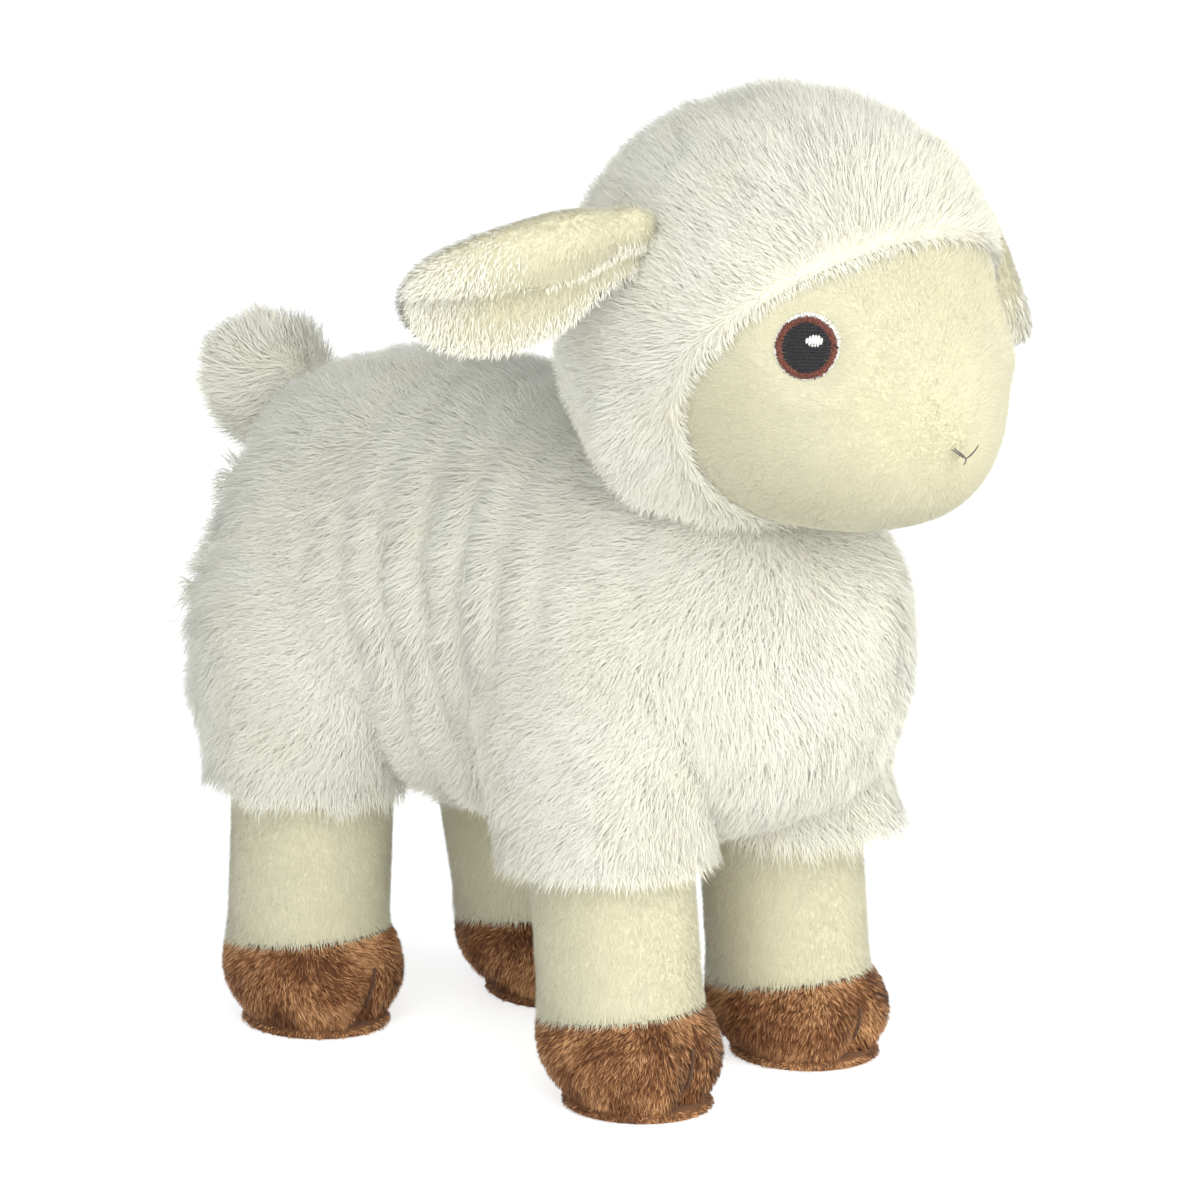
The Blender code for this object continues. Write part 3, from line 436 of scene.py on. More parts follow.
# Moves each point that lies inside a neighbour towards a goal, until it is just outside
def keepClear(points, goals, insideOf):
    def stillInside(share):
        return insideOf(points + (goals - points) * share[..., None])

    none, whole = np.zeros(points.shape[:-1]), np.ones(points.shape[:-1])
    _, share = closeIn(none, whole, stillInside, halvings=14)
    return np.where(insideOf(points)[..., None], points + (goals - points) * share[..., None], points)


# Materials
def addNode(tree, kind, inputs=None, **settings):
    node = tree.nodes.new("ShaderNode" + kind)
    for key, value in settings.items():
        setattr(node, key, value)
    setInputs(node, inputs or {})
    return node


def setInputs(node, inputs):
    for key, value in inputs.items():
        node.inputs[key].default_value = value


# Each wire is a node, its output, the node that it goes to, and the input there
def addWires(tree, wires):
    for source, output, target, entry in wires:
        tree.links.new(source.outputs[output], target.inputs[entry])


def addRamp(tree, stops):
    rampNode = addNode(tree, "ValToRGB")
    elements = rampNode.color_ramp.elements
    while len(elements) < len(stops):
        elements.new(0.5)
    for element, (place, colour) in zip(elements, stops):
        element.position = place
        element.color = (*colour, 1)
    return rampNode


clothSurface = {
    "Sheen Roughness": 0.5,
    "Specular IOR Level": 0.2,
    "Emission Color": (1.0, 0.98, 0.88, 1),  # the tone of light that passes through the pile
}


# The glow stands for light that passes through the pile
def newMaterial(name, roughness, sheen, glow=0.0):
    material = bpy.data.materials.new(name)
    material.use_nodes = True
    shader = material.node_tree.nodes["Principled BSDF"]
    setInputs(shader, {"Roughness": roughness, "Sheen Weight": sheen, "Emission Strength": glow})
    setInputs(shader, clothSurface)
    return material, material.node_tree, shader


# Strands: the map's first axis picks a tone, its second runs from root to tip, and a painted
# shade at the root, which darkens the colour where the pile's own shadow falls deep between the
# strands, fades out over a share of the length. Both sides of a strand are lit alike: the normal
# that a back face turns over is turned back.
def strandMaterial(name, tones, rootPaintedShade, roughness, sheen, glow):
    fadeShare = 0.55
    material, tree, shader = newMaterial(name, roughness, sheen, glow)
    mapNode = addNode(tree, "UVMap", uv_map="OFBake")
    parts = addNode(tree, "SeparateXYZ")
    toneRamp = addRamp(tree, tones)
    # painted shade: the colour is darker at the root, deep in the pile where its shadow falls
    paintedShadeRamp = addRamp(tree, ((0.0, rootPaintedShade), (fadeShare, (1, 1, 1))))
    product = addNode(tree, "Mix", {"Factor": 1.0}, data_type="RGBA", blend_type="MULTIPLY")
    geometry = addNode(tree, "NewGeometry")
    sign = addNode(tree, "Math", {1: -2.0, 2: 1.0}, operation="MULTIPLY_ADD")
    turned = addNode(tree, "VectorMath", operation="SCALE")
    addWires(tree, (
        (mapNode, "UV", parts, "Vector"),
        (parts, "X", toneRamp, "Fac"),
        (parts, "Y", paintedShadeRamp, "Fac"),
        (toneRamp, "Color", product, "A"),
        (paintedShadeRamp, "Color", product, "B"),
        (product, "Result", shader, "Base Color"),
        (geometry, "Backfacing", sign, 0),
        (geometry, "Normal", turned, 0),
        (sign, 0, turned, "Scale"),
        (turned, "Vector", shader, "Normal"),
    ))
    return material


# Cloth and thread: broad patches of tone from noise, and a fine nap from finer noise, which also
# lifts the surface. The nap's share is 1 where there are no patches.
def clothMaterial(name, tones, napScale, bumpHeight, roughness, sheen, napShare=0.5, bump=0.5):
    patchScale = 60.0
    material, tree, shader = newMaterial(name, roughness, sheen)
    coordinates = addNode(tree, "TexCoord")
    patches = addNode(tree, "TexNoise", {"Scale": patchScale, "Detail": 3.0})
    nap = addNode(tree, "TexNoise", {"Scale": napScale, "Detail": 2.0})
    blend = addNode(tree, "Mix", {"Factor": napShare}, data_type="FLOAT")
    toneRamp = addRamp(tree, tones)
    lift = addNode(tree, "Bump", {"Strength": bump, "Distance": bumpHeight})
    addWires(tree, (
        (coordinates, "Object", patches, "Vector"),
        (coordinates, "Object", nap, "Vector"),
        (patches, "Fac", blend, "A"),
        (nap, "Fac", blend, "B"),
        (blend, "Result", toneRamp, "Fac"),
        (toneRamp, "Color", shader, "Base Color"),
        (nap, "Fac", lift, "Height"),
        (lift, "Normal", shader, "Normal"),
    ))
    return material


# For each slot of pile: its strands, and the backing cloth that they stand on
pileLooks = {
    "fleece": (
        "fleece",
        {
            "tones": ((0.0, (0.93, 0.91, 0.74)), (0.5, (0.955, 0.945, 0.81)), (1.0, (0.97, 0.965, 0.87))),
            # painted shade at the strands' roots, deep in the pile
            "rootPaintedShade": (0.99, 0.955, 0.85),
            "roughness": 0.9,
            "sheen": 0.35,
            "glow": 0.025,
        },
        {
            "tones": ((0.3, (0.92, 0.89, 0.72)), (0.7, (0.94, 0.92, 0.78))),
            "napScale": 900,
            "bumpHeight": 0.0004,
            "roughness": 0.95,
            "sheen": 0.1,
        },
    ),
    "short_pile": (
        "butter",
        {
            "tones": ((0.0, (0.73, 0.685, 0.48)), (0.5, (0.77, 0.74, 0.535)), (1.0, (0.81, 0.785, 0.61))),
            # painted shade at the strands' roots, deep in the pile
            "rootPaintedShade": (0.98, 0.96, 0.90),
            "roughness": 0.85,
            "sheen": 0.15,
            "glow": 0.05,
        },
        {
            "tones": ((0.3, (0.72, 0.685, 0.48)), (0.7, (0.76, 0.735, 0.535))),
            "napScale": 1600,
            "bumpHeight": 0.0003,
            "roughness": 0.9,
            "sheen": 0.15,
        },
    ),
    "hoof_pile": (
        "hoof",
        {
            "tones": ((0.0, (0.12, 0.042, 0.015)), (0.5, (0.37, 0.16, 0.064)), (1.0, (0.82, 0.455, 0.215))),
            # painted shade at the strands' roots, darker here to add contrast between the strands
            "rootPaintedShade": (0.42, 0.36, 0.30),
            "roughness": 0.7,
            "sheen": 0.1,
            "glow": 0.0,
        },
        {
            "tones": ((0.3, (0.15, 0.065, 0.03)), (0.7, (0.26, 0.125, 0.06))),
            "napScale": 1200,
            "bumpHeight": 0.0004,
            "roughness": 0.9,
            "sheen": 0.1,
        },
    ),
}
strandOf, backingOf = {}, {}
for pileSlot, (lookName, strandLook, backingLook) in pileLooks.items():
    strandOf[pileSlot] = strandMaterial(lookName + "Strand", **strandLook)
    backingOf[pileSlot] = clothMaterial(lookName + "Backing", **backingLook)
print("materials made")


# Sews a piece of the backing cloth of its slot
def sewCloth(name, skin, slotName, body, node, bend=None):
    sew(name, skin, backingOf[slotName], body, node, bend)


# Pile
def everywhere(points):
    return np.ones(len(points), bool)


def sameLength(points):
    return np.ones(len(points))


def sameLean(points):
    return np.zeros(len(points))


pileShare = 1.0
lampWay = unit(np.array([-0.3, -0.75, 0.5]))  # loose pile is also lit from here, by light through it
fleecePile = {
    "slot": "fleece",
    "bent": True,
    "perSquareMillimetre": 7.4,
    "length": 0.0092,
    "lengthSpread": 0.5,
    "lengthOf": sameLength,
    "width": 0.00015,
    "rootDegrees": 58.0,
    "tipDegrees": 26.0,
    "leanOf": sameLean,
    "strayDegrees": 20.0,
    "rollDegrees": 20.0,
    "swirlScale": 0.018,
    "swirlDegrees": 36.0,
    "tuftScale": 0.0052,
    "tuftPull": 0.0008,
    "tuftLength": 0.35,
    "toneScale": 0.012,
    "toneDrift": 0.5,
    "toneStray": 0.10,
    "litAsSkin": 0.95,
    "litThrough": 0.12,
}
shortPile = {
    "slot": "short_pile",
    "bent": False,
    "perSquareMillimetre": 6.5,
    "length": 0.0015,
    "lengthSpread": 0.35,
    "lengthOf": sameLength,
    "width": 0.00018,
    "rootDegrees": 42.0,
    "tipDegrees": 34.0,
    "leanOf": sameLean,
    "strayDegrees": 14.0,
    "rollDegrees": 35.0,
    "swirlScale": 0.012,
    "swirlDegrees": 24.0,
    "tuftScale": 0.003,
    "tuftPull": 0.0002,
    "tuftLength": 0.2,
    "toneScale": 0.014,
    "toneDrift": 0.6,
    "toneStray": 0.12,
    "litAsSkin": 0.9,
    "litThrough": 0.0,
}
hoofPile = dict(
    shortPile,
    slot="hoof_pile",
    perSquareMillimetre=8.0,
    length=0.0026,
    width=0.00034,
    rootDegrees=52.0,
    tipDegrees=30.0,
    swirlDegrees=60.0,
    tuftScale=0.0015,
    tuftPull=0.0008,
    toneScale=0.0060,
    toneDrift=0.9,
    toneStray=0.32,
    litAsSkin=0.55,
)
strandForm = {
    "widthSpread": 0.3,
    "middlePull": 0.35,  # the share of a tuft's pull that a strand's middle takes
    "toneEdge": 0.01,
    "mapWidth": 0.004,
    "floorGap": 0.0001,
    "tuftSeed": 5,
    "toneSeed": 9,
}


# Roots spread over a skin's triangles by area, each with the skin's normal there
def scatterRoots(rng, skin, perSquareMillimetre):
    triangles = allTriangles(skin)
    a, b, c = triangleCorners(skin)
    areas = np.linalg.norm(np.cross(b - a, c - a), axis=1) / 2
    count = int(areas.sum() / millimetre**2 * perSquareMillimetre * pileShare)
    spread = (np.arange(count) + rng.random(count)) / count * areas.sum()
    chosen = np.minimum(np.searchsorted(np.cumsum(areas), spread), len(areas) - 1)
    corner = np.sqrt(rng.random(count))
    slide = rng.random(count)
    weights = np.stack([1 - corner, corner * (1 - slide), corner * slide], axis=1)[..., None]
    roots = (skin["points"][triangles[chosen]] * weights).sum(axis=1)
    return roots, unit((skinNormals(skin)[triangles[chosen]] * weights).sum(axis=1))


# The way each strand heads over the skin: the combing, turned by a slow swirl and a little at random
def strandHeadings(rng, roots, upward, pile, combing, seed):
    level = unit(alongSkin(combing(roots, upward), upward))
    yaw = (smoothNoise(roots, pile["swirlScale"], seed) - 0.5) * 2 * math.radians(pile["swirlDegrees"])
    yaw = (yaw + rng.normal(0, math.radians(pile["strayDegrees"]), len(roots)))[:, None]
    return level * np.cos(yaw) + np.cross(upward, level) * np.sin(yaw)


# Each strand's middle and tip: it leans from its normal towards its heading, more so at its tip,
# and its tip is pulled up the slope of a noise into tufts
def strandLine(roots, upward, heading, length, pile, seed):
    rootLean = np.radians(pile["rootDegrees"] + pile["leanOf"](roots))[:, None]
    tipLean = np.radians(pile["tipDegrees"] + pile["leanOf"](roots))[:, None]
    pull = alongSkin(noiseSlope(roots, pile["tuftScale"], seed + strandForm["tuftSeed"]), upward)
    pull = pull * pile["tuftPull"]
    half = length[:, None] / 2
    middle = roots + half * (upward * np.sin(rootLean) + heading * np.cos(rootLean))
    middle = middle + pull * strandForm["middlePull"]
    tip = middle + half * (upward * np.sin(tipLean) + heading * np.cos(tipLean))
    return middle, tip + pull * (1 - strandForm["middlePull"])


# Each strand's tone, from slow noise and a little at random
def strandTones(rng, roots, pile, seed):
    drift = smoothNoise(roots, pile["toneScale"], seed + strandForm["toneSeed"]) - 0.5
    tone = 0.5 + pile["toneDrift"] * drift + rng.normal(0, pile["toneStray"], len(roots))
    return np.clip(tone, strandForm["toneEdge"], 1 - strandForm["toneEdge"])


# Strands are lit mostly as the skin under them is, since light passes through the pile
def strandNormals(upward, across, lengthWay, pile):
    bladeWay = unit(np.cross(across, lengthWay))
    lit = unit(upward * pile["litAsSkin"] + bladeWay * (1 - pile["litAsSkin"]))
    return unit(lit + pile["litThrough"] * lampWay)


# Grows pile from roots that are kept, as one piece for each name, parted from front to rear. Long
# strands are bent leaves, widest at their middle, and short ones are narrow triangles.
def growPile(names, skin, pile, combing, keep, body, seed, bend=None):
    rng = np.random.default_rng(seed)
    roots, upward = scatterRoots(rng, skin, pile["perSquareMillimetre"])
    kept = keep(roots)
    roots, upward = roots[kept], upward[kept]
    count = len(roots)
    heading = strandHeadings(rng, roots, upward, pile, combing, seed)
    tuft = smoothNoise(roots, pile["tuftScale"], seed + strandForm["tuftSeed"])
    length = pile["length"] * (1 - pile["lengthSpread"] * rng.random(count))
    length = length * (1 + pile["tuftLength"] * (tuft - 0.5)) * pile["lengthOf"](roots)
    middle, tip = strandLine(roots, upward, heading, length, pile, seed)
    lengthWay = unit(tip - roots)
    across = unit(np.cross(lengthWay, upward))
    roll = rng.normal(0, math.radians(pile["rollDegrees"]), count)[:, None]
    across = across * np.cos(roll) + np.cross(lengthWay, across) * np.sin(roll)
    width = 1 + strandForm["widthSpread"] * (2 * rng.random(count)[:, None] - 1)
    aside = across * width * pile["width"] / 2
    tone = strandTones(rng, roots, pile, seed)
    lit = strandNormals(upward, across, lengthWay, pile)
    if pile["bent"]:
        corners = np.stack([roots, middle + aside, tip, middle - aside], axis=1)
        mapUp = np.array([0.0, 0.5, 1.0, 0.5])
    else:
        corners = np.stack([roots - aside, roots + aside, tip], axis=1)
        mapUp = np.array([0.0, 0.0, 1.0])
    corners[..., 2] = np.maximum(corners[..., 2], strandForm["floorGap"])  # strands lie on the floor
    mapAcross = tone[:, None] + strandForm["mapWidth"] * np.sin(math.pi * mapUp)
    mapCorners = np.stack([mapAcross, np.broadcast_to(mapUp, mapAcross.shape)], axis=-1)
    rearward = np.argsort(roots[:, 1], kind="stable")
    for name, share in zip(names, np.array_split(rearward, len(names))):
        points, ways = corners[share].reshape(-1, 3), np.repeat(lit[share], len(mapUp), axis=0)
        faces = np.arange(len(points)).reshape(-1, len(mapUp))
        made = makeMesh(name, points, [faces], strandOf[pile["slot"]], mapCorners[share], ways)
        attach(made, body, bend=bend)
    print("pile", names[0], count, "strands")


# Torso
legNames = list(legs)
# The hollow that joins leg and torso is narrow low down, and widens upwards from the first of the
# two heights to the second
legBlend = {
    "low": 0.007,
    "high": 0.030,
    "heights": (0.085, 0.125),
    "most": 0.014,
    "hidden": 0.0005,
    "far": 0.022,
    "hemFade": 0.016,
    "pileOverlap": 0.0004,  # how far the pile of leg and torso each reach over their border
}
flankFolds = {
    "pitch": 0.0125,
    "height": 0.0047,
    "middle": (0.004, 0.102),  # along the body from its middle, and above the floor
    "reach": (0.031, 0.036),
    "slant": -0.12,  # metres along the body for each metre up
    "wander": (0.7, 0.03),  # how far the folds wander, in pitches, and over what length
    "least": 0.35,
    "varied": (0.95, 0.024),  # how much higher the noise makes them, and over what length
    "besideLegs": 0.010,
}
stuffingLumps = {"height": 0.0020, "scale": 0.021}
torsoMesh = {"rings": 110, "segments": 150, "aboveMiddle": 0.02, "legGap": 0.0008}


def insideLegs(points, grow):
    return np.any([legDepth(name, points, grow) < 1 for name in legNames], axis=0)


# Two depths joined in a rounded hollow as wide as the blend
def joined(first, second, blend):
    share = np.clip(0.5 + 0.5 * (second - first) / blend, 0, 1)
    return second * (1 - share) + first * share - blend * share * (1 - share)


# How far points lie from the nearest of some legs, from the depth's square root
def legAway(points, names):
    halfSize = (legSize["hipRadius"] + legSize["hipWidth"] / 2) / 2
    depths = [legDepth(name, points, -fleeceDepth) for name in names]
    return (np.sqrt(np.min(depths, axis=0)) - 1) * halfSize


# The depth's sum less one, divided by its own slope, which a small step along each axis gives
def torsoAway(points):
    step = millimetre / 20
    level = formDepth(torso, points, -fleeceDepth) ** (1 / torso["sidePower"])
    further = [formDepth(torso, points + axis, -fleeceDepth) for axis in np.eye(3) * step]
    further = np.stack(further, axis=-1) ** (1 / torso["sidePower"])
    slope = np.linalg.norm(further - level[..., None], axis=-1) / step
    far = torso["width"] / 2
    return np.clip((level - 1) / np.maximum(slope, 1 / torso["length"]), -far, far)


# How far points lie outside the fleece that runs on from torso to leg
def fleeceAway(points, names):
    widening = ramp(points[..., 2], *legBlend["heights"])
    blend = legBlend["low"] + (legBlend["high"] - legBlend["low"]) * widening
    return joined(torsoAway(points), legAway(points, names), blend)


# Each skin swells along its outward ways to that fleece, and not at all at the hem
def swellTo(rings, ways, names):
    def stillInside(swelling):
        return fleeceAway(rings + ways * swelling[..., None], names) < 0

    most = legBlend["most"] * np.clip((rings[..., 2] - legSize["hemHeight"]) / legBlend["hemFade"], 0, 1)
    low, _ = closeIn(np.zeros(rings.shape[:-1]), most, stillInside, halvings=12)
    return rings + ways * low[..., None]


# True for points that belong to the torso: nearer to it than to the legs, or far from the legs
def torsoOwns(points, names, overlap=0.0):
    fromLegs = legAway(points, names)
    return (torsoAway(points) < fromLegs + overlap) | (fromLegs > legBlend["far"])


# True for points on the joined fleece, false for those hidden in it
def onFleece(points, names):
    return fleeceAway(points, names) > -legBlend["hidden"]


# Folds in the flank: a raised cosine across slanted, wandering lines, its height varied by noise
# and faded by a bell curve round the folds' middle
def foldLift(points):
    middle, reach = flankFolds["middle"], flankFolds["reach"]
    y = points[..., 1] - torso["origin"][1]
    z = points[..., 2]
    wander = flankFolds["wander"][0] * smoothNoise(points, flankFolds["wander"][1], 3)
    acrossFolds = (y + flankFolds["slant"] * (z - middle[1])) / flankFolds["pitch"]
    wave = 0.5 + 0.5 * np.cos(2 * math.pi * (acrossFolds + wander))
    varied = flankFolds["varied"][0] * smoothNoise(points, flankFolds["varied"][1], 8)
    fade = bell(y - middle[0], reach[0]) * bell(z - middle[1], reach[1])
    fade = fade * ramp(legAway(points, legNames), 0, flankFolds["besideLegs"])
    return flankFolds["height"] * wave * (flankFolds["least"] + varied) * fade


# Broad lumps of the stuffing, from noise
def stuffingLift(points):
    return stuffingLumps["height"] * smoothNoise(points, stuffingLumps["scale"], 4)


# Places from end to end, closer together at both ends
def gridPlaces(count):
    return (1 - np.cos(math.pi * np.arange(1, count + 1) / (count + 1))) / 2


# The torso's skin, and the same one running on over the legs for the pile to grow from
def torsoSkins():
    places = gridPlaces(torsoMesh["rings"])[:, None]
    turns = roundTurn(torsoMesh["segments"])[None, :]
    rings = formPoints(torso, places, turns, -fleeceDepth)
    outwardWay = skinNormals(shellOf(rings)).reshape(rings.shape)
    swelled = swellTo(rings, outwardWay, legNames)
    lifted = swelled + outwardWay * (foldLift(swelled) + stuffingLift(swelled))[..., None]
    rings = np.where(torsoOwns(swelled, legNames)[..., None], lifted, rings)
    inward = np.array([torso["origin"][0], 0, torsoMiddle + torsoMesh["aboveMiddle"]])
    rings = keepClear(
        rings, rings * (0, 1, 0) + inward, lambda p: insideLegs(p, torsoMesh["legGap"] - fleeceDepth)
    )
    return [closedSkin(grid, grid[0].mean(axis=0), grid[-1].mean(axis=0)) for grid in (rings, lifted)]


torsoSkin, torsoPileSkin = torsoSkins()
sewCloth("torsoSkin", torsoSkin, "fleece", "torso", "torso_skin")


tailWay = unit(np.cross(np.array([-1.0, 0, 0]), jointAxis["tail_wag"]))
if tailWay[1] < 0:
    tailWay = -tailWay
torsoComb = {
    "aboveHip": 0.006,  # the legs' own combing begins this far over the hips
    "legFade": 0.03,
    "legReach": 0.014,
    "frontFrom": 0.55,  # shares of the half length where the chest's and the rump's combing begin
    "rearFrom": 0.6,
    "backward": (0.55, 0.45),  # everywhere, and its change where the skin is level
    "downward": (1.0, -0.6, 0.4, 0.9),  # the same, and its change at the rear and in front
    "towardTail": 2.2,
    "tailReach": 0.026,
    "legWay": (0, 0.2, -1.0),
}
tailLift = {"degrees": 30, "reach": 0.022}
# The pile is shorter in the crease between each leg and the torso, and this fades out above it
crease = {"top": 0.108, "fade": 0.02, "cut": 0.5, "width": 0.0045}
intoHead = 0.006  # how far the torso's pile may reach into the head


# Down the flanks and the chest, backwards on the back and the belly, and straight down the legs
def combTorso(points, upward):
    legTop = legSize["hipHeight"] + torsoComb["aboveHip"]
    onLeg = ramp(points[:, 2:3], legTop, legTop - torsoComb["legFade"])
    onLeg = onLeg * bell(np.maximum(legAway(points, legNames), 0)[:, None], torsoComb["legReach"])
    y = (points[:, 1:2] - torso["origin"][1]) / (torso["length"] / 2)
    front = ramp(-y, torsoComb["frontFrom"], 1)
    rear = ramp(y, torsoComb["rearFrom"], 1)
    flat = np.abs(upward[:, 2:3])
    backward, downward = torsoComb["backward"], torsoComb["downward"]
    back = (backward[0] + backward[1] * flat) * (1 - front)
    down = downward[0] + downward[1] * flat + downward[2] * rear + downward[3] * front
    byTail = bell(
        np.linalg.norm(points - jointAt["tail_wag"], axis=1, keepdims=True), torsoComb["tailReach"]
    )
    way = np.array([0, 1.0, 0]) * back + np.array([0, 0, -1.0]) * down
    way = way + torsoComb["towardTail"] * tailWay * byTail
    return way * (1 - onLeg) + np.array(torsoComb["legWay"]) * onLeg


def liftByTail(points):
    byTail = bell(np.linalg.norm(points - jointAt["tail_wag"], axis=1), tailLift["reach"])
    return tailLift["degrees"] * byTail


def creaseLength(points):
    gap = torsoAway(points) - legAway(points, legNames)
    low = ramp(points[:, 2], crease["top"], crease["top"] - crease["fade"])
    return 1 - crease["cut"] * bell(gap, crease["width"]) * low


def keepTorso(points):
    own = torsoOwns(points, legNames, legBlend["pileOverlap"])
    return own & onFleece(points, legNames) & (formDepth(head, points, -intoHead) > 1)


growPile(
    ["torsoPile" + part for part in ("Breast", "Chest", "Shoulder", "Flank", "Hip", "Rump")],
    torsoPileSkin,
    dict(fleecePile, leanOf=liftByTail, lengthOf=creaseLength),
    combTorso,
    keepTorso,
    "torso",
    seeds["torsoPile"],
)
print("torso made")


# Trousers
hemAbove = {"front": 0.0005, "hind": 0.002}  # where the backing ends over the solid's hem
# The pile's length at each hem, as a share, and how much that share grows from its middle to its
# front
hemFringe = {
    "front_right": (0.95, -0.35),
    "front_left": (1.65, 0.1),
    "hind_right": (1.0, 0.0),
    "hind_left": (1.0, 0.0),
}
trouserMesh = {
    "segments": 84,
    "outer": (40, 24),  # rings of the dome, then of the sleeve
    "inner": (12, 8),
    "innerGap": 0.0005,
    "riseDegrees": (88, 3),  # of the dome's first and last ring
}
hipBend = {"above": 0.024, "below": 0.004}  # the blend's ends, over and under the hip
fringeHeight = 0.012
intoOtherLegs = 0.004  # how far a leg's pile may reach into the others


# Rings down a trouser: the hip's ellipsoid by angles of rise, then the sleeve's ellipses. The
# second array holds each point's outward way.
def trouserRings(name, grow, lowest, ringCounts):
    domeRings, sleeveRings = ringCounts
    turn = roundTurn(trouserMesh["segments"])
    rise = np.radians(np.linspace(*trouserMesh["riseDegrees"], domeRings))[:, None]
    x = (legSize["hipWidth"] / 2 + grow) * np.cos(rise) * np.cos(turn)
    y = (legSize["hipRadius"] + grow) * np.cos(rise) * np.sin(turn)
    z = (legSize["hipRadius"] + grow) * np.sin(rise) + 0 * turn
    dome = np.stack([x, y, z], axis=-1)
    height = np.linspace(legSize["hipHeight"], lowest, sleeveRings)[:, None]
    halfWidth, halfLength = sleeveHalves(height, grow)
    sleeve = legRing(name, height, halfWidth, halfLength, turn[None, :])
    fromAxis = sleeve - sleeve.mean(axis=1, keepdims=True)
    rings = np.concatenate([dome + jointAt[name + "_hip"], sleeve])
    return rings, unit(np.concatenate([dome, fromAxis]))


def makeTrouser(name):
    lowest = legSize["hemHeight"] + hemAbove[name.split("_")[0]]
    hip = jointAt[name + "_hip"]
    outer, ways = trouserRings(name, -fleeceDepth, lowest, trouserMesh["outer"])
    swelled = swellTo(outer, ways, [name])
    lifted = swelled + ways * stuffingLift(swelled)[..., None]
    outer = np.where(torsoOwns(swelled, [name])[..., None], outer, lifted)
    inner, _ = trouserRings(name, -fleeceDepth - trouserMesh["innerGap"], lowest, trouserMesh["inner"])
    rings = np.concatenate([outer, inner[:0:-1]])
    skin = closedSkin(rings, outer[0].mean(axis=0), inner[1].mean(axis=0))
    body = name + "_leg"
    bend = {
        "start": tuple(hip + (0, 0, hipBend["above"])),
        "end": tuple(hip - (0, 0, hipBend["below"])),
    }
    sewCloth(name + "Trouser", skin, "fleece", body, name + "_trouser", bend)

    def keepLeg(points):
        others = [other for other in legNames if other != name]
        own = ~torsoOwns(points, [name], -legBlend["pileOverlap"])
        return own & onFleece(points, [name]) & (legAway(points, others) > -intoOtherLegs)

    def fringeLength(points):
        low = ramp(points[:, 2], legSize["hemHeight"] + fringeHeight, legSize["hemHeight"])
        forward = np.clip((hip[1] - points[:, 1]) / legSize["hipRadius"], -1, 1)
        share, frontward = hemFringe[name]
        return creaseLength(points) * (1 + low * (share - 1 + frontward * forward))

    trouserPile = dict(fleecePile, lengthOf=fringeLength)
    seed = seeds["trouserPile"] + legNames.index(name)
    growPile([name + "TrouserPile"], shellOf(lifted), trouserPile, combTorso, keepLeg, body, seed, bend)


# Shins and hooves
shinMesh = {"segments": 72, "rings": 24, "overHoof": 0.0004}
shinPile = dict(shortPile, length=0.0018)
shinEdge = {"longer": 0.9, "height": 0.006, "overHem": 0.003}
hoofMesh = {"segments": 96, "rings": 30, "overSole": 0.0003}
solePile = dict(hoofPile, length=0.0014, swirlDegrees=40.0)
soleEdge = {"share": 0.3, "inset": 0.006, "lowest": 0.0006}
lowerLegComb = {"shin": (0, 0.1, -1.0), "hoof": (0.15, -0.1, -1.0)}


def combLowerLeg(part):
    return lambda points, upward: np.array(lowerLegComb[part]) + 0 * points


# Rings of the lower leg, each as far out from the shin's own ellipse as it grows
def lowerLegRings(name, height, grow, segments, cleft=0, ahead=0, tilt=0):
    halfWidth, halfLength = legSize["shinWidth"] / 2 + grow, legSize["shinLength"] / 2 + grow
    return legRing(name, height, halfWidth, halfLength, roundTurn(segments), cleft, ahead, tilt)


# A tube of rings from the hoof's rim up into the trouser, its rim tilted and its top level
def shinRings(name, depth):
    share = np.linspace(0, 1, shinMesh["rings"])[:, None]
    low = legs[name][3] + shinMesh["overHoof"]
    height = low * (1 - share) + (legSize["hemHeight"] + legSize["shinTuck"]) * share
    tilt = legSize["rimTilt"] * (1 - share)
    return lowerLegRings(name, height, -depth, shinMesh["segments"], tilt=tilt)


def makeShin(name):
    outer, inner = shinRings(name, shortDepth), shinRings(name, insideDepth["shin"])
    body = name + "_leg"
    skin = tubeSkin(outer, inner)
    sewCloth(name + "Shin", skin, "short_pile", body, name + "_shin")

    # Longer at the lower edge, where it hangs over the hoof
    def shinLength(points):
        hoofHeight = legs[name][3]
        return 1 + shinEdge["longer"] * ramp(points[:, 2], hoofHeight + shinEdge["height"], hoofHeight)

    def belowHem(points):
        return points[:, 2] < legSize["hemHeight"] + shinEdge["overHem"]

    pile = dict(shinPile, lengthOf=shinLength)
    seed = seeds["shinPile"] + legNames.index(name)
    growPile([name + "ShinPile"], shellOf(outer), pile, combLowerLeg("shin"), belowHem, body, seed)


# A hoof's swell, cleft and reach forward, each a part of a sine wave of its share of the height
def hoofProfile(share):
    swell = legSize["bulge"] * np.sin(math.pi * np.minimum(share / legSize["bulgeEndShare"], 1))
    swell = swell - legSize["drawIn"] * share ** legSize["drawInPower"]
    growth = np.sin(math.pi / 2 * share)
    return swell, legSize["cleftDepth"] * growth, legSize["toeReach"] * growth


def hoofRings(name, depth):
    share = np.linspace(0, 1, hoofMesh["rings"])[:, None]
    low = legSize["soleThickness"] + hoofMesh["overSole"]
    height = legs[name][3] + (low - legs[name][3]) * share
    swell, cleft, ahead = hoofProfile(share)
    tilt = legSize["rimTilt"] * (1 - share)
    return lowerLegRings(name, height, swell - depth, hoofMesh["segments"], cleft, ahead, tilt)


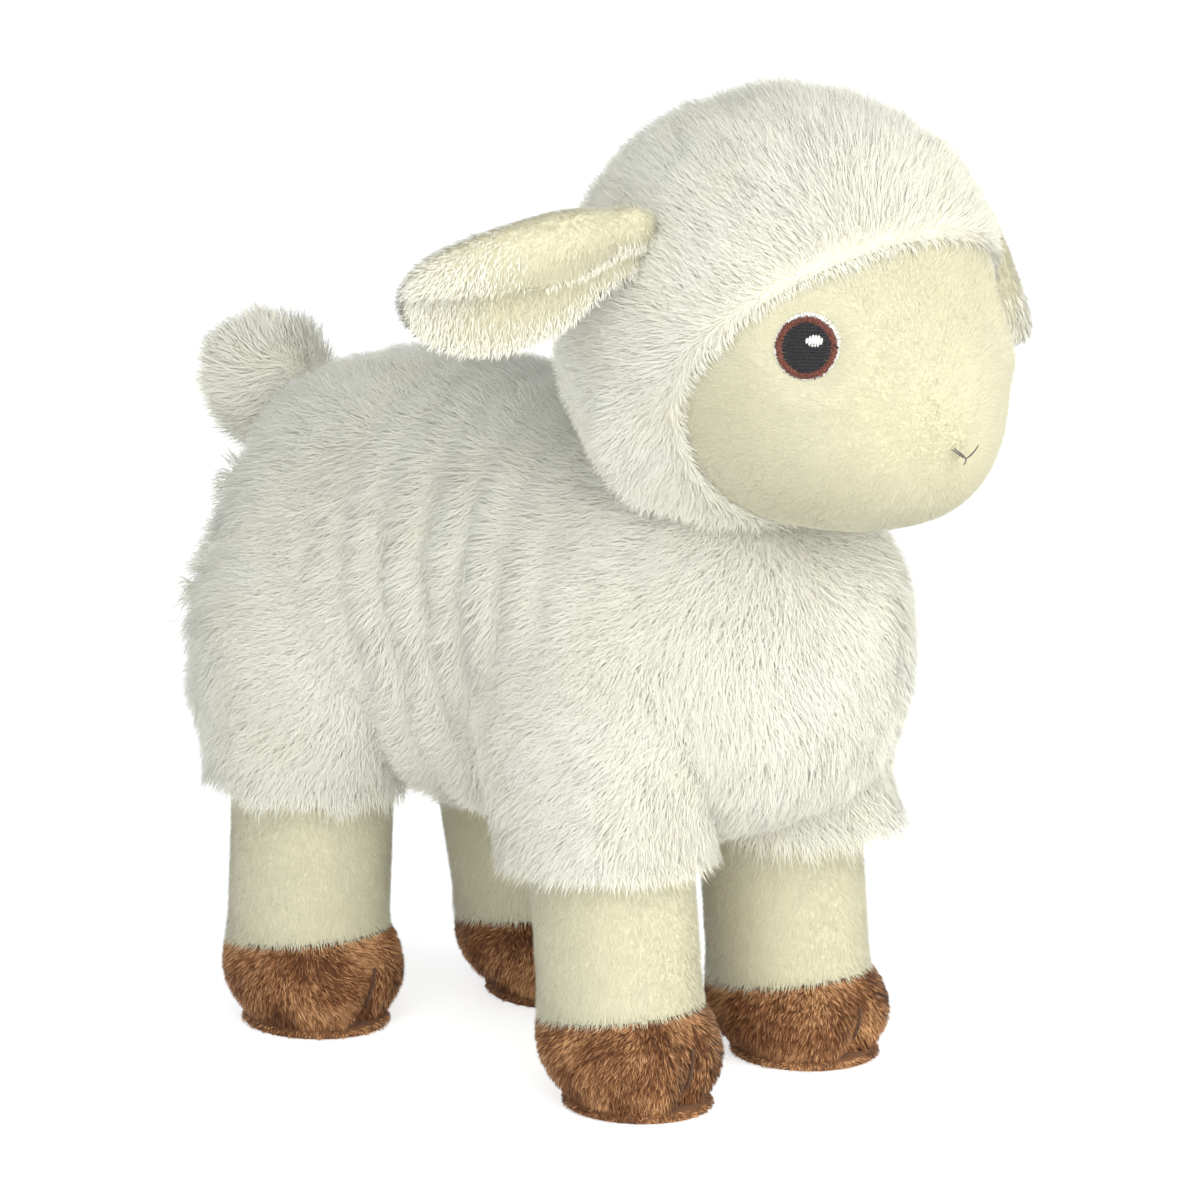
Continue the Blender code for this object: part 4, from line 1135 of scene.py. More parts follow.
# A flat sole under the hoof: rings out to its rounded edge and back, each a height and an inset
def soleRings(name):
    swell, _, ahead = hoofProfile(1.0)
    top, inset = legSize["soleThickness"], soleEdge["inset"]
    edge = top * soleEdge["share"]
    low = edge * soleEdge["share"]
    profile = np.array([
        (0, inset), (0, 4 * low), (low, low), (edge, 0), (top - edge, 0), (top, edge), (top, inset),
    ])
    grow = swell + legSize["soleFlange"] - profile[:, 1:]
    return lowerLegRings(name, profile[:, :1], grow, hoofMesh["segments"], ahead=ahead)


def makeHoof(name):
    outer, inner = hoofRings(name, shortDepth), hoofRings(name, insideDepth["hoof"])
    body, comb = name + "_leg", combLowerLeg("hoof")
    sewCloth(name + "Hoof", tubeSkin(outer, inner), "hoof_pile", body, name + "_hoof")
    seed = seeds["hoofPile"] + legNames.index(name)
    growPile([name + "HoofPile"], shellOf(outer), hoofPile, comb, everywhere, body, seed)
    rings = soleRings(name)
    sole = closedSkin(rings, rings[0].mean(axis=0), rings[-1].mean(axis=0))
    sewCloth(name + "Sole", sole, "hoof_pile", body, name + "_sole")

    def offFloor(points):
        return points[:, 2] > soleEdge["lowest"]

    edgeRings = rings[2:6]
    seed = seeds["solePile"] + legNames.index(name)
    growPile([name + "SolePile"], shellOf(edgeRings), solePile, comb, offFloor, body, seed)


for legName in legNames:
    makeTrouser(legName)
    makeShin(legName)
    makeHoof(legName)
print("legs made")


# Head
# Rings outside and inside, where they start, and the power that spreads them
headMesh = {
    "segments": 180,
    "hood": {"rings": (84, 30), "from": (0.04, 0.1), "power": 3},
    "face": {"rings": (90, 24), "from": (0.05, 0.1), "power": 4},
}
hoodSize = {
    "grow": 0.0035,
    "beforeEdge": 0.001,
    "thickness": 0.0018,
    "backThickness": 0.0026,
    "insideClear": 0.0015,
    "pileClear": 0.0036,
    "liftFade": 0.15,
    "lipShare": 0.2,
}
# Where a point of the head would meet the torso, it moves towards the goal, until it is clear
headClear = {"torsoGrow": 0.0022, "goal": (0, -0.012, 0.055)}
hoodFold = {
    "height": 0.0034,
    "steep": 0.0022,
    "gentle": 0.0075,
    "aheadOfNeck": 0.010,
    "slant": 0.3,
    "middle": 0.025,
    "reach": 0.013,
}
hoodPile = dict(fleecePile, length=0.0096, litThrough=0.25)
hoodComb = {
    "lowFrom": 0.06,  # heights over the neck where the downward combing begins, and is full
    "lowTo": 0.01,
    "backward": ((0, 1.0, 0.25), 0.55),  # the way, and how much less of it low down
    "downward": 0.15,
    "faceHeight": 0.03,
    "edgeReach": 0.06,  # the reaches here and below are levels that besideFace gives
    "towardFace": 0.9,
    "edgeDown": 0.6,
    "shortest": 0.5,
    "fringeReach": 0.16,
}
hoodLean = {
    "crownDegrees": 24,
    "crownFrom": 0.055,
    "crownTo": 0.095,
    "crownReach": 0.2,
    "edgeDegrees": 30,
    "edgeMiddle": 0.07,
    "edgeReach": 0.05,
}


# How far points lie from the face patch's edge, as the level of an ellipsoid before the muzzle:
# below zero on the face, above zero on the hood
def besideFace(points):
    ahead = headSize["aheadOfNeck"] + faceEdgeSize["aheadShare"] * headSize["length"]
    height = headSize["aboveNeck"] - faceEdgeSize["dropShare"] * headSize["height"]
    halves = np.array([faceEdgeSize[side] for side in ("width", "length", "height")]) / 2
    return np.linalg.norm((toHead(points) - (0, -ahead, height)) / halves, axis=-1) - 1


# The place of the face patch's edge, for each turn round the head
def faceEdgePlace(turns):
    rearmost, foremost = np.full(turns.shape, 0.2), np.full(turns.shape, 0.999)

    def onHood(place):
        return besideFace(formPoints(head, place, turns, 0)) >= 0

    low, high = closeIn(rearmost, foremost, onHood, halvings=30)
    return (low + high) / 2


headTurns = roundTurn(headMesh["segments"])
faceEdge = faceEdgePlace(headTurns)


def headShell(places, grow, extra):
    rings = formPoints(head, places, headTurns[None, :], grow)
    goals = np.broadcast_to(neckAt + headMatrix @ np.array(headClear["goal"]), rings.shape)
    torsoGrow = headClear["torsoGrow"] + extra
    return keepClear(rings, goals, lambda p: formDepth(torso, p, torsoGrow) < 1)


# Where a head piece's rings lie outside and then back inside: 0 at its middle, 1 at the face's edge
def headSteps(part):
    (outside, inside), (first, last) = headMesh[part]["rings"], headMesh[part]["from"]
    steps = np.linspace(first, 1, outside)[:, None] ** headMesh[part]["power"]
    return steps, np.linspace(1, last, inside)[:, None] ** headMesh[part]["power"]


def headEnd(place, grow):
    return formPoints(head, np.full(1, float(place)), np.zeros(1), grow)[0]


def liftFromMiddle(rings, lift):
    return rings + unit(rings - headMiddle) * lift[..., None]


# A fold down the hood under each ear: a ridge, gentle before it and steep behind it
def hoodFoldLift(points):
    local = toHead(points)
    up = local[..., 2] - hoodFold["middle"]
    fromFold = local[..., 1] + hoodFold["aheadOfNeck"] + hoodFold["slant"] * up
    width = np.where(fromFold > 0, hoodFold["steep"], hoodFold["gentle"])
    return hoodFold["height"] * bell(fromFold, width) * np.exp(-((up / hoodFold["reach"]) ** 4))


# Over the face at its edge, away from it over the crown and cheeks, and downwards below the ears
def combHood(points, upward):
    local = toHead(points)
    low = ramp(local[:, 2:3], hoodComb["lowFrom"], hoodComb["lowTo"])
    backward, lessBackward = hoodComb["backward"]
    way = np.array(backward) * (1 - lessBackward * low)
    way = way + np.array([0, 0, -1.0]) * (hoodComb["downward"] + low)
    muzzle = np.array([0, -headSize["aheadOfNeck"] - headSize["length"] / 2, hoodComb["faceHeight"]])
    overFace = unit(muzzle - local) * hoodComb["towardFace"] - np.array([0, 0, hoodComb["edgeDown"]])
    byEdge = ramp(besideFace(points), hoodComb["edgeReach"], 0)[:, None]
    return (way * (1 - byEdge) + overFace * byEdge) @ headMatrix.T


def hoodLength(points):
    fromEdge = ramp(besideFace(points), 0, hoodComb["fringeReach"])
    return hoodComb["shortest"] + (1 - hoodComb["shortest"]) * fromEdge


# Upright on the crown, and along the parting beside the face
def hoodRise(points):
    beside = besideFace(points)
    crown = ramp(toHead(points)[:, 2], hoodLean["crownFrom"], hoodLean["crownTo"])
    crown = crown * ramp(beside, 0, hoodLean["crownReach"])
    byEdge = bell(beside - hoodLean["edgeMiddle"], hoodLean["edgeReach"])
    return hoodLean["crownDegrees"] * crown + hoodLean["edgeDegrees"] * byEdge


def clearOfTorso(points):
    return formDepth(torso, points, hoodSize["pileClear"]) > 1


# The hood: rings from the back of the head to the face's edge, turned in, and back inside
def makeHood():
    grow = hoodSize["grow"] - fleeceDepth
    edge = faceEdge[None, :] - hoodSize["beforeEdge"]
    steps, backSteps = headSteps("hood")
    outer = headShell(steps * edge, grow, 0)
    lift = (stuffingLift(outer) + hoodFoldLift(outer)) * ramp(steps, 1, 1 - hoodSize["liftFade"])
    outer = liftFromMiddle(outer, lift)
    inner = headShell(backSteps * edge, grow - hoodSize["thickness"], hoodSize["insideClear"])
    rings = np.concatenate([outer, inner])
    hood = closedSkin(rings, headEnd(0, grow), headEnd(0, grow - hoodSize["backThickness"]))
    sewCloth("headHood", hood, "fleece", "head", "head_hood")
    lip = inner[:1] * (1 - hoodSize["lipShare"]) + outer[-1:] * hoodSize["lipShare"]
    pile = dict(hoodPile, leanOf=hoodRise, lengthOf=hoodLength)
    names, shell = ["headHoodPileFront", "headHoodPileBack"], shellOf(np.concatenate([outer, lip]))
    growPile(names, shell, pile, combHood, clearOfTorso, "head", seeds["hoodPile"])


eyeSize = {
    "placeShares": {-1: 0.825, 1: 0.806},
    "angleDegrees": {-1: 19.0, 1: 16.0},
    "outlineRadius": 0.0072,
    "ringRadius": 0.0070,
    "pupilRadius": 0.0057,
    "ringStitches": 84,
    "pupilRows": 15,
    "highlightAt": (0.0016, 0.0016),
    "highlightHalves": (0.0019, 0.0014),
    "highlightRows": 6,
    "lift": 0.0005,
}
eyeHollow = {
    "depth": 0.0011,
    "spread": 0.0075,
    "bulge": 0.0015,
    "bulgeRadius": 0.0125,
    "bulgeSpread": 0.0042,
    "nosewardShare": 0.55,
    "nosewardLeast": 0.15,
    "nosewardFade": 0.02,
}
facePile = dict(shortPile, perSquareMillimetre=9.5, rootDegrees=56.0, tipDegrees=46.0)
faceSize = {"clear": 0.0012, "insideClear": 0.002, "pileUnderEye": 0.0004, "comb": (0, 1.0, 0.15)}


# The place on the face, and the ways across it, up it and out of it
def faceFrame(place, turn):
    near = 0.0005
    places, turns = np.array([place, place + near, place]), np.array([turn, turn, turn + near])
    here, further, beside = formPoints(head, places, turns, 0)
    out = unit(np.cross(further - here, beside - here))
    if np.dot(out, here - headMiddle) < 0:
        out = -out
    across = unit(np.cross((0, 0, 1.0), out))
    return here, across, np.cross(out, across), out


def eyePlace(side):
    angle = math.radians(eyeSize["angleDegrees"][side])
    return faceFrame(eyeSize["placeShares"][side], angle if side > 0 else math.pi - angle)


# Each eye is drawn in by its thread: a bell-shaped hollow, and a swelling in a ring round it,
# less on the side away from the nose
def faceLift(points):
    lift = np.zeros(points.shape[:-1])
    for side in (-1, 1):
        here, across, _, _ = eyePlace(side)
        away = np.linalg.norm(points - here, axis=-1)
        sideways = side * ((points - here) @ across) / eyeHollow["nosewardFade"]
        noseward = np.clip(eyeHollow["nosewardShare"] - sideways, eyeHollow["nosewardLeast"], 1)
        ring = bell(away - eyeHollow["bulgeRadius"], eyeHollow["bulgeSpread"])
        hollow = bell(away, eyeHollow["spread"])
        lift += eyeHollow["bulge"] * ring * noseward - eyeHollow["depth"] * hollow
    return lift


def combFace(points, upward):
    return np.array(faceSize["comb"]) @ headMatrix.T + 0 * points


def awayFromEyes(points):
    away = [np.linalg.norm(points - eyePlace(side)[0], axis=-1) for side in (-1, 1)]
    return np.min(away, axis=0) > eyeSize["outlineRadius"] - faceSize["pileUnderEye"]


# The face patch: rings from the muzzle's tip out to the edge, turned in, and back inside
def makeFace():
    edge = faceEdge[None, :]
    steps, backSteps = headSteps("face")
    outer = headShell(edge + (1 - edge) * (1 - steps), -shortDepth, faceSize["clear"])
    backPlaces = edge + (1 - edge) * (1 - backSteps)
    inner = headShell(backPlaces, -insideDepth["face"], faceSize["insideClear"])
    outer, inner = (liftFromMiddle(rings, faceLift(rings)) for rings in (outer, inner))
    rings = np.concatenate([outer, inner])
    face = closedSkin(rings, headEnd(1, -shortDepth), headEnd(1, -insideDepth["face"]))
    sewCloth("facePanel", face, "short_pile", "head", "face_panel")
    growPile(["facePile"], shellOf(outer), facePile, combFace, awayFromEyes, "head", seeds["facePile"])


makeHood()
makeFace()


# Thread
threadTones = {
    "white": ((0.62, 0.61, 0.58), (0.93, 0.93, 0.91)),
    "brown": ((0.045, 0.012, 0.009), (0.24, 0.072, 0.048)),
    "black": ((0.004, 0.004, 0.005), (0.028, 0.026, 0.030)),
    "grey": ((0.05, 0.045, 0.045), (0.16, 0.15, 0.15)),
    "cleft": ((0.06, 0.026, 0.013), (0.15, 0.072, 0.036)),
}
threadLook = {
    "napScale": 2600,
    "bumpHeight": 0.0001,
    "roughness": 0.5,
    "sheen": 0.2,
    "napShare": 1.0,
    "bump": 0.4,
}
threads = {
    name: clothMaterial(name + "Thread", ((0.3, dark), (0.68, light)), **threadLook)
    for name, (dark, light) in threadTones.items()
}


# Tubes of thread: circles of a radius round each path, each tube closed to a point at its ends
def threadTubes(paths, radii):
    sideCount = 6
    offUpright = 0.001  # keeps the cross product from zero on an upright thread
    count, length = paths.shape[:2]
    ways = unit(np.gradient(paths, axis=1))
    side = unit(np.cross(ways, np.array([0.0, 0, 1.0]) + offUpright))
    over = np.cross(ways, side)
    turn = roundTurn(sideCount)[:, None]
    circle = side[:, :, None] * np.cos(turn) + over[:, :, None] * np.sin(turn)
    rings = paths[:, :, None] + circle * radii[:, :, None, None]
    points = np.concatenate([rings.reshape(count, -1, 3), paths[:, :1], paths[:, -1:]], axis=1)
    first = tipFaces(0, sideCount, length * sideCount)[:, ::-1]
    last = tipFaces((length - 1) * sideCount, sideCount, length * sideCount + 1)
    starts = (np.arange(count) * points.shape[1])[:, None, None]
    quads = (ringFaces(length, sideCount)[None] + starts).reshape(-1, 4)
    tips = (np.concatenate([first, last])[None] + starts).reshape(-1, 3)
    return turnedOut(makeSkin(points.reshape(-1, 3), quads, tips), 0)


# Lays flat points on the face: each is moved along the way out until it meets the head's form,
# then down to the cloth. The heights are over the cloth.
def layOnFace(place, flat, heights):
    deepest, highest = np.full(flat.shape[:-1], -0.012), np.full(flat.shape[:-1], 0.006)
    here, across, up, out = place
    points = here + flat[..., :1] * across + flat[..., 1:] * up

    def inHead(rise):
        return formDepth(head, points + rise[..., None] * out, 0) < 1

    low, _ = closeIn(deepest, highest, inHead, halvings=16)
    heights = heights + faceLift(points + low[..., None] * out) - shortDepth
    return points + (low + heights)[..., None] * out


# Straight stitches from one ring of flat points to another, each rounded up and thicker in its
# middle, as half a sine wave
def stitches(place, starts, ends, width, lift, bow):
    stepCount, endShare = 7, 0.55
    steps = np.linspace(0, 1, stepCount)[None, :, None]
    flat = starts[:, None] * (1 - steps) + ends[:, None] * steps
    wave = np.sin(math.pi * steps[..., 0]) + 0 * flat[..., 0]
    paths = layOnFace(place, flat, lift + bow * wave)
    return threadTubes(paths, width / 2 * (endShare + (1 - endShare) * np.maximum(wave, 0) ** 0.5))


def ringOf(radius, angles, wobble=0):
    return np.stack([(radius + wobble) * np.cos(angles), (radius + wobble) * np.sin(angles)], axis=-1)


# Evenly spaced rows between -1 and 1
def rowPlaces(count):
    return 2 * (np.arange(count) + 0.5) / count - 1


# For each part of an eye: how much wider than its spacing a stitch is, its lift over the eye's own,
# and its bow
eyeStitch = {
    "Ring": (1.1, 0.0003, 0.0003),
    "Edge": (1.2, -0.0002, 0.0002),
    "Pupil": (1.15, 0.0, 0.0004),
    "Highlight": (1.3, 0.00045, 0.00025),
    "Tail": (1.0, 0.0006, 0.0002),
}
eyeDetail = {
    "stray": 0.3,  # of a stitch's place round the ring, as a share of its spacing
    "slant": 0.08,
    "ringInside": 0.0002,
    "ringStray": 0.00012,
    "edgeSlant": 0.03,
    "edgeInside": 0.0003,
    "edgeStray": 0.0001,
    "edgeLonger": 0.0008,
    "edgeLongestDegrees": 60,
    "pupilOver": 0.0006,
    "pupilSlant": 0.0001,
    "lightSlant": 0.0002,
    "lightStray": 0.00008,
    "tailStarts": ((0.0040, 0.0019), (0.0056, 0.0011)),
    "tailEnds": ((0.0060, 0.0010), (0.0074, 0.0003)),
    "tailWidth": 0.0003,
}


def makeEye(name, side):
    rng = np.random.default_rng(seeds["eye"] + side)
    place = eyePlace(side)
    detail = eyeDetail

    def sewPart(part, thread, starts, ends, spacing, node=None):
        wider, lift, bow = eyeStitch[part]
        skin = stitches(place, starts, ends, wider * spacing, eyeSize["lift"] + lift, bow)
        sew(name + "Eye" + part, skin, threads[thread], "head", node)

    count = eyeSize["ringStitches"]
    angles = 2 * math.pi * (np.arange(count) + detail["stray"] * rng.random(count)) / count
    inner = ringOf(eyeSize["pupilRadius"] - detail["ringInside"], angles + detail["slant"])
    outer = ringOf(eyeSize["ringRadius"], angles, rng.normal(0, detail["ringStray"], count))
    spacing = 2 * math.pi * eyeSize["ringRadius"] / count
    sewPart("Ring", "brown", inner, outer, spacing, name + "_eye_iris")
    # The white edge: short stitches under the ring that show beyond it, longer at its upper front
    upperFront = math.radians(detail["edgeLongestDegrees"])
    longer = detail["edgeLonger"] * np.clip(np.cos(angles - upperFront), 0, 1)
    inner = ringOf(eyeSize["ringRadius"] - detail["edgeInside"], angles + detail["edgeSlant"])
    stray = longer + rng.normal(0, detail["edgeStray"], count)
    outer = ringOf(eyeSize["outlineRadius"], angles, stray)
    sewPart("Edge", "white", inner, outer, spacing, name + "_eye_outline")
    rows = eyeSize["pupilRows"]
    heights = eyeSize["pupilRadius"] * rowPlaces(rows)
    halves = np.sqrt(eyeSize["pupilRadius"] ** 2 - heights**2) + detail["pupilOver"]
    starts = np.stack([-halves, heights], axis=-1)
    ends = np.stack([halves, heights + detail["pupilSlant"]], axis=-1)
    sewPart("Pupil", "black", starts, ends, 2 * eyeSize["pupilRadius"] / rows, name + "_eye_pupil")
    rows = eyeSize["highlightRows"]
    across, up = eyeSize["highlightHalves"]
    places = rowPlaces(rows)
    reach = up * np.sqrt(1 - places**2) + rng.normal(0, detail["lightStray"], rows)
    spot = np.array(eyeSize["highlightAt"])
    starts = np.stack([across * places, -reach], axis=-1) + spot
    ends = np.stack([across * places + detail["lightSlant"], reach], axis=-1) + spot
    sewPart("Highlight", "white", starts, ends, 2 * across / rows, name + "_eye_highlight")
    starts, ends = np.array(detail["tailStarts"]), np.array(detail["tailEnds"])
    sewPart("Tail", "black", starts, ends, detail["tailWidth"])


# Four stitches that meet in a small Y, each from a start to an end
noseSize = {
    "placeShare": 0.9975,
    "starts": ((-0.0041, 0.0030), (-0.0034, 0.0031), (0.0041, 0.0027), (0.0002, 0.0003)),
    "ends": ((-0.0001, 0.0002), (0.0003, 0.0003), (0.0002, 0.0), (-0.0002, -0.0012)),
    "width": 0.00036,
    "lift": 0.0018,
    "bow": 0.0003,
}


def makeNose():
    place = faceFrame(noseSize["placeShare"], -math.pi / 2)
    starts, ends = np.array(noseSize["starts"]), np.array(noseSize["ends"])
    skin = stitches(place, starts, ends, noseSize["width"], noseSize["lift"], noseSize["bow"])
    sew("noseStitch", skin, threads["grey"], "head", "nose_stitch")


for eyeName, eyeSide in (("right", -1), ("left", 1)):
    makeEye(eyeName, eyeSide)
makeNose()
print("head made")


# Ears
earFlap = {
    "bendUp": 0.33,
    "bendForward": 0.0042,
    "overhang": 0.5,
    "lowerShare": 0.56,
    "bendShare": 0.24,
    "opening": (1.25, 0.12),  # the overhang's share is the first less the place, at least the second
    "leanBack": 0.25,
    "thickness": 0.0018,
    "gap": 0.00015,
}
earMesh = {"rings": 48, "segments": 96}
earLeaves = {"Back": -1, "Front": 1}
leafPile = dict(shortPile, length=0.0017, perSquareMillimetre=8.0)
rimPile = dict(
    fleecePile,
    length=0.0034,
    perSquareMillimetre=8.0,
    rootDegrees=40.0,
    tipDegrees=20.0,
    tuftPull=0.0003,
    tuftLength=0.2,
    litThrough=0.6,
)
earComb = {"down": 0.8, "outAtRoot": 0.15, "outAtTip": 1.2, "outFrom": 0.3}
# Longer pile stands along a leaf's lower edge, on the back one under the flap's edge too, and
# round the tip
earRim = {
    "flapReach": 0.0026,
    "edge": (0.45, 0.95),  # shares of the half width where it begins, and where it is full
    "tip": (0.58, 0.94),  # the same, in shares of the length
    "power": 1.5,
    "leastHalf": 0.001,
    "liftDegrees": 10,
    "liftFrom": 0.6,
}


# An ear's half width: a quarter circle at the root, eased to its widest, and a quarter ellipse to
# its tip
def earHalfWidth(distance):
    root = earSize["rootRadius"]
    widest = earSize["length"] * earSize["widestShare"]
    ease = np.sin(math.pi / 2 * ramp(distance, root, widest)) ** earSize["shoulderPower"]
    body = root + (earSize["width"] / 2 - root) * ease
    atRoot = ramp(distance, root, 0)
    atTip = ramp(distance, widest, earSize["length"])
    return body * np.sqrt(1 - atRoot**2) * np.sqrt(1 - atTip**2)


# An ear sags towards its tip as a quarter sine wave
def earSag(distance):
    root = earSize["rootRadius"]
    share = ramp(distance, root, earSize["length"])
    return earSize["sagShare"] * (earSize["width"] / 2 - root) * np.sin(math.pi / 2 * share)


# The fold along an ear: a bell curve across it, shallower towards its tip
def earFold(distance, across):
    depth = earSize["foldDepth"] * (1 - distance / earSize["length"]) ** earSize["foldPower"]
    return -depth * bell(across, earSize["width"] * earSize["foldWidthShare"])


# The line across an ear, from its lower edge: up its face, round a half ellipse to the front, and
# down again as a flap that hangs over the crease. It is scaled by the leaf's half width.
def earLine(distance, share, foldFrom):
    half = earHalfWidth(distance)
    openAtRoot, openLeast = earFlap["opening"]
    opened = np.clip(openAtRoot - distance / earSize["length"], openLeast, 1)
    start = foldFrom * half
    flapFrom = earFlap["lowerShare"] + earFlap["bendShare"]
    face = np.clip(share / earFlap["lowerShare"], 0, 1)
    bend = math.pi * ramp(share, earFlap["lowerShare"], flapFrom)
    flap = ramp(share, flapFrom, 1)
    up = -half + (half + start) * face + earFlap["bendUp"] * half * np.sin(bend)
    up = up - earFlap["overhang"] * half * opened * flap
    depth = earFlap["bendForward"] * np.clip(half / (earSize["width"] / 2), 0, 1)
    forward = depth * (1 - np.cos(bend)) - earFlap["leanBack"] * depth * flap
    faced = up * (bend == 0) + start * (bend > 0)
    return up, forward + earFold(distance, faced)


# The ways of an ear on its head: swept back, drooped and turned to face forward
def earMatrix(name):
    side, sweep, droop, _ = ears[name]
    aim = (
        Matrix.Rotation(side * math.radians(sweep), 3, "Z")
        @ Matrix.Rotation(side * math.radians(droop), 3, "Y")
        @ Matrix.Rotation(math.radians(earSize["facingDegrees"]), 3, "X")
    )
    return headMatrix @ np.array(aim)


# A leaf: a lens wrapped on the ear's line, set off from it along the line's own normal
def earLeaf(name, way):
    side, _, _, foldFrom = ears[name]
    thickness = earFlap["thickness"]
    lift = way * (thickness / 2 + earFlap["gap"])
    places = gridPlaces(earMesh["rings"])[:, None]
    distance = earSize["length"] * places
    turn = roundTurn(earMesh["segments"])[None, :]
    share = (1 + np.cos(turn)) / 2
    near = 0.004  # shares to both sides, for the line's slope
    up, forward = earLine(distance, share, foldFrom)
    more = np.stack(earLine(distance, np.minimum(share + near, 1), foldFrom), axis=-1)
    less = np.stack(earLine(distance, np.maximum(share - near, 0), foldFrom), axis=-1)
    slope = unit(more - less)
    offset = lift + thickness / 2 * np.sin(turn) * np.sqrt(np.sin(math.pi * places))
    up = up - slope[..., 1] * offset
    forward = forward + slope[..., 0] * offset
    out = side * (distance - earSize["rootRadius"]) + 0 * up
    rings = np.stack([out, -forward, up - earSag(distance)], axis=-1)
    ends = [
        np.array([side * (far - earSize["rootRadius"]), -earFold(far, 0.0) - lift, -earSag(far)])
        for far in (0.0, earSize["length"])
    ]
    turned, hinge = earMatrix(name), jointAt[name + "_ear_bend"]
    return closedSkin(rings @ turned.T + hinge, *(end @ turned.T + hinge for end in ends))


def makeEarLeaf(name, leaf):
    side, _, _, foldFrom = ears[name]
    way = earLeaves[leaf]
    body, pieceName = name + "_ear", name + "Ear" + leaf
    skin = earLeaf(name, way)
    turned, hinge = earMatrix(name), jointAt[name + "_ear_bend"]
    sewCloth(pieceName, skin, "short_pile", body, body + "_" + leaf.lower())

    # Each point's distance from the ear's root, and its place across the leaf
    def earPlace(points):
        local = (points - hinge) @ turned
        distance = side * local[:, 0] + earSize["rootRadius"]
        return distance, local[:, 2] + earSag(distance)

    # Outwards along the leaf and down across it, so that it hangs over both lower edges
    def combEar(points, upward):
        distance, _ = earPlace(points)
        outer = np.clip(distance / earSize["length"] - earComb["outFrom"], 0, 1)
        outer = side * (earComb["outAtRoot"] + earComb["outAtTip"] * outer)
        return np.stack([outer, 0 * outer, 0 * outer - earComb["down"]], axis=1) @ turned.T

    def rimLift(points):
        distance, _ = earPlace(points)
        return earRim["liftDegrees"] * np.clip(distance / earSize["length"] - earRim["liftFrom"], 0, 1)

    def onRim(points):
        distance, across = earPlace(points)
        half = earHalfWidth(np.clip(distance, 0, earSize["length"]))
        half = np.maximum(half, earRim["leastHalf"])
        flapEdge = (foldFrom - earFlap["overhang"]) * half
        byFlap = bell(across - flapEdge, earRim["flapReach"]) * (leaf == "Back")
        byEdge = ramp(-across / half, *earRim["edge"])
        byTip = ramp(distance / earSize["length"], *earRim["tip"])
        chance = np.max([byFlap, byEdge, byTip], axis=0)
        draws = np.random.default_rng(seeds["earRim"]).random(len(points))
        return chance ** earRim["power"] > draws

    leafNumber = side + 3 * way
    rimSeed, leafSeed = seeds["earRimPile"] + leafNumber, seeds["earPile"] + leafNumber
    pile = dict(rimPile, leanOf=rimLift)
    growPile([pieceName + "RimPile"], skin, pile, combEar, onRim, body, rimSeed)
    growPile([pieceName + "Pile"], skin, leafPile, combEar, everywhere, body, leafSeed)


for earName, leafName in itertools.product(ears, earLeaves):
    makeEarLeaf(earName, leafName)
print("ears made")


# Tail
tailMesh = {"rings": 44, "segments": 60, "lastStep": 0.99, "leastRadius": 0.0008}
tailPile = dict(
    fleecePile,
    length=0.0112,
    rootDegrees=60.0,
    tipDegrees=34.0,
    swirlDegrees=110.0,
    swirlScale=0.008,
    tuftPull=0.0012,
    litThrough=0.9,
)
tailComb = {"growth": 2.5, "least": 0.15, "outward": 0.3}


# A pear: its radius follows the shares along its length, times a cap that closes its end
def makeTail():
    root = jointAt["tail_wag"]
    length = tailSize["length"] - fleeceDepth
    steps = np.sin(math.pi / 2 * np.linspace(0.0, tailMesh["lastStep"], tailMesh["rings"]))
    cap = np.sqrt(1 - steps ** tailSize["endPower"])
    radius = (tailSize["radius"] * along(tailSize["skinShares"], steps) - fleeceDepth) * cap
    radius = np.maximum(radius, tailMesh["leastRadius"])[:, None, None]
    turn = roundTurn(tailMesh["segments"])[None, :, None]
    sideWay = np.array([1.0, 0, 0])
    upWay = np.cross(sideWay, tailWay)
    rings = root + (steps * length)[:, None, None] * tailWay
    rings = rings + radius * np.cos(turn) * sideWay + radius * np.sin(turn) * upWay
    skin = closedSkin(rings, rings[0].mean(axis=0), root + tailWay * length)
    sewCloth("tailSkin", skin, "fleece", "tail", "tail_skin")

    # Towards the tip, and a little outwards
    def combTail(points, upward):
        share = ((points - root) @ tailWay / tailSize["length"])[:, None]
        forward = np.clip(tailComb["growth"] * share, tailComb["least"], 1)
        return tailWay * forward + tailComb["outward"] * unit(points - root)

    growPile(["tailPile"], skin, tailPile, combTail, everywhere, "tail", seeds["tailPile"])


makeTail()
print("tail made")


# The solids that stay: stuffing and pellet bags in plain cloth, stitches in thread
stuffingLook = {
    "tones": ((0.3, (0.80, 0.80, 0.78)), (0.7, (0.9, 0.9, 0.88))),
    "napScale": 700,
    "bumpHeight": 0.0005,
    "roughness": 0.95,
    "sheen": 0,
}
pelletLook = {
    "tones": ((0.3, (0.62, 0.60, 0.55)), (0.7, (0.76, 0.74, 0.68))),
    "napScale": 1500,
    "bumpHeight": 0.0002,
    "roughness": 0.9,
    "sheen": 0,
}
keptMaterials = {
    "filling": clothMaterial("stuffingCloth", **stuffingLook),
    "pellet_bag": clothMaterial("pelletCloth", **pelletLook),
    "cleft_stitch": threads["cleft"],
    "ear_tack": threads["white"],
    "closing_seam": threads["white"],
}
for node in frame["nodes"]:
    for ending, material in keptMaterials.items():
        if node.endswith(ending):
            bpy.data.objects[node].data.materials.clear()
            bpy.data.objects[node].data.materials.append(material)


